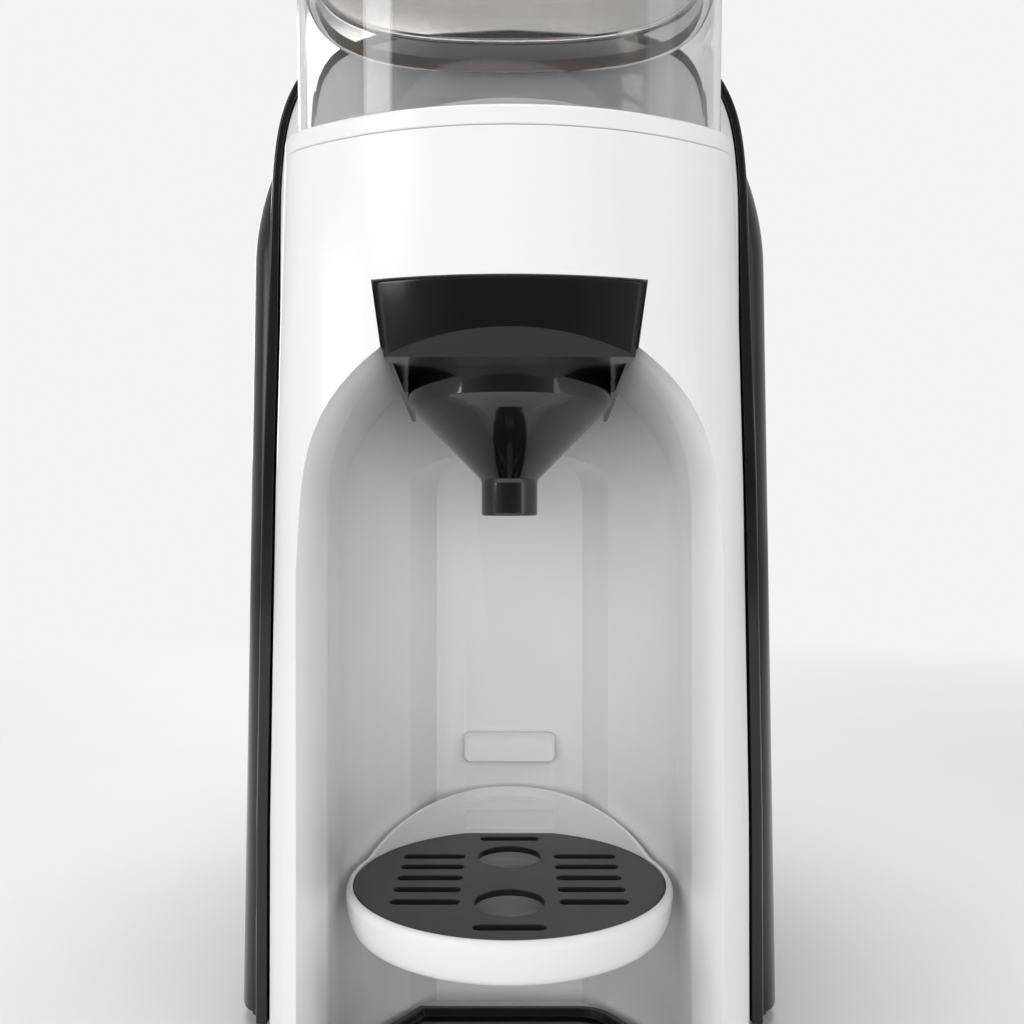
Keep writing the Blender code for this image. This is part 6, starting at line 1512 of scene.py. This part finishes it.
@dataclass
class Studio:
    """The floor, the lamps, the world and the camera at the photograph's place."""

    ambient: float = 0.38
    world: float = 0.5
    front: float = 0.1
    backdrop: float = 0.9
    lens: float = 36.0 * 1048 / 1024
    camera_at: Point3 = (0.0, -0.422, 0.182)
    shift: Point2 = (2.5 / 1024, -2.0 / 1024)
    lamps: tuple[Lamp, ...] = (
        Lamp("key", (-0.89, -1.0, 0.8), (0, -0.14, 0.26), (0.34, 0.5), 2.2, (1.0, 0.995, 0.985)),
        Lamp("window", (-1.0, -0.62, 0.36), (0, -0.12, 0.2), (0.34, 0.3), 1.1),
        Lamp("front", (-0.1, -1.5, 0.34), (0, 0, 0.15), (2.6, 1.0), 15.0, mirrored=False),
        Lamp("fill", (1.1, -0.8, 0.5), (0, -0.05, 0.15), (0.4, 0.9), 0.8, (0.98, 0.99, 1.0)),
        Lamp("top", (0.0, 0.1, 1.3), (0, 0, 0.1), (0.9, 0.9), 9.0),
        Lamp("behind", (-0.3, 1.3, 0.6), (0, 0.1, 0.15), (0.9, 0.7), 5.0),
    )

    def floor(self) -> None:
        """Lays the pale floor, which runs out into the white backdrop."""
        graph = Graph("pale_floor")
        grain = graph.noise(12.0, 4.0, 0.6)
        graph.set(Base_Color=graph.mix(grain, (0.80, 0.80, 0.79), (0.84, 0.84, 0.83)), Roughness=0.75)
        place = graph.node("ShaderNodeNewGeometry")[0]
        away = graph.node("ShaderNodeVectorMath", {"operation": "LENGTH"}, {0: place})[1]
        rays = graph.node("ShaderNodeLightPath")
        seen = graph.node("ShaderNodeMath", {"operation": "MAXIMUM"}, {0: rays[0], 1: rays[6]})[0]
        share = away.to(0.45, 1.1, 0.0, 1.0) * seen
        glow = graph.node("ShaderNodeEmission", {}, {"Strength": self.backdrop})[0]
        surface = Sock(graph, graph.shader.outputs[0])
        blend = graph.node("ShaderNodeMixShader", {}, {0: share, 1: surface, 2: glow})[0]
        graph.feed(graph.output.inputs["Surface"], blend)
        mesh = bpy.data.meshes.new("floor")
        mesh.from_pydata([(-9, -9, 0), (9, -9, 0), (9, 9, 0), (-9, 9, 0)], [], [[0, 1, 2, 3]])
        mesh.materials.append(graph.material)
        floor = bpy.data.objects.new("floor", mesh)
        bpy.context.scene.collection.objects.link(floor)

    def sky(self) -> None:
        """Makes the plain pale world: white where it is seen, softer as light, and dim in front."""
        world = bpy.data.worlds.new("studio")
        bpy.context.scene.world = world
        graph = WorldGraph(world)
        rays = graph.node("ShaderNodeLightPath")
        seen = graph.node("ShaderNodeMath", {"operation": "MAXIMUM"}, {0: rays[0], 1: rays[6]})[0]
        axes = graph.node("ShaderNodeSeparateXYZ", {}, {0: graph.node("ShaderNodeTexCoord")[0]})
        ends = {"From Min": -0.95, "From Max": -0.4, "To Min": self.front, "To Max": self.world}
        light = graph.node("ShaderNodeMapRange", {}, {"Value": axes[1], **ends})[0]
        span = {"To Min": self.ambient, "To Max": light}
        cast = graph.node("ShaderNodeMapRange", {}, {"Value": rays[3], **span})[0]
        reach = {"To Min": cast, "To Max": self.backdrop}
        graph.set(Strength=graph.node("ShaderNodeMapRange", {}, {"Value": seen, **reach})[0])
        graph.set(Color=(1.0, 1.0, 1.0))

    def camera(self) -> None:
        """Sets the camera level in front of the bay."""
        data = bpy.data.cameras.new("camera")
        data.lens = self.lens
        data.sensor_width = 36.0
        data.shift_x, data.shift_y = self.shift
        camera = bpy.data.objects.new("camera", data)
        camera.location = self.camera_at
        camera.rotation_euler = (math.pi / 2, 0, 0)
        bpy.context.scene.collection.objects.link(camera)
        bpy.context.scene.camera = camera

    def build(self) -> None:
        """Builds the studio."""
        self.camera()
        self.floor()
        self.sky()
        for lamp in self.lamps:
            lamp.light()
        bpy.context.scene.view_settings.view_transform = "Standard"


# Palette ---------------------------------------------------------------------------------------

FINISHES = (
    Moulded("white_plastic", (0.8, 0.795, 0.79), 0.17, cloud=0.008, haze=0.025),
    Moulded("tray_plastic", (0.79, 0.785, 0.78), 0.22, cloud=0.008, haze=0.02),
    Moulded("trim_plastic", (0.01, 0.01, 0.011), 0.12, cloud=0.08, haze=0.03),
    Moulded("rear_plastic", (0.01, 0.01, 0.011), 0.17, cloud=0.08, haze=0.05),
    Moulded("black_plastic", (0.004, 0.004, 0.0045), 0.11, cloud=0.1, haze=0.03, specular=0.6),
    Moulded("black_gloss", (0.004, 0.004, 0.0045), 0.05, cloud=0.1, haze=0.02, specular=1.0),
    Moulded("charcoal_plastic", (0.03, 0.03, 0.032), 0.42, cloud=0.08, grain=1500.0),
    Moulded(
        "grate_plastic", (0.013, 0.0135, 0.015), 0.28,
        cloud=0.06, grain=1300.0, grain_depth=0.00001, specular=0.3,
    ),
    Moulded("button_plastic", (0.09, 0.09, 0.094), 0.38, cloud=0.06, grain=1800.0, grain_depth=0.00002),
    Moulded("nylon", (0.62, 0.6, 0.55), 0.42, cloud=0.03),
    Clear("container_plastic", (0.84, 0.84, 0.85), 0.01, 1.49),
    Clear("lid_plastic", (0.55, 0.53, 0.505), 0.06, 1.49),
    Clear("tank_plastic", (0.3, 0.31, 0.33), 0.04, 1.49),
    Clear("display_glass", (0.05, 0.055, 0.06), 0.02, 1.5, 0.000005, dust=0.02),
    Metal("steel", (0.6, 0.6, 0.61), 0.3),
    Metal("pinion_brass", (0.72, 0.52, 0.22), 0.28),
    Rubbery("foot_rubber", (0.02, 0.02, 0.02), 0.75),
    Rubbery("seal_silicone", (0.42, 0.33, 0.26), 0.4),
    Rubbery("hose_silicone", (0.7, 0.7, 0.67), 0.35),
    Circuit("circuit_board"),
)


def main() -> None:
    """Builds the dressed machine in its studio."""
    logging.basicConfig(level=logging.INFO, format="%(message)s")
    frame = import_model()
    Studio().build()
    maker = Maker(frame, {finish.name: finish.make() for finish in FINISHES})
    for assembly in (Head(), Back(), Tank(), Container(), Drawer(), DripTray(), Base(), Controls(), Inside()):
        LOG.info("%s", type(assembly).__name__)
        assembly.build(maker)
    LOG.info("%d pieces built", maker.count)


if __name__ == "__main__":
    main()
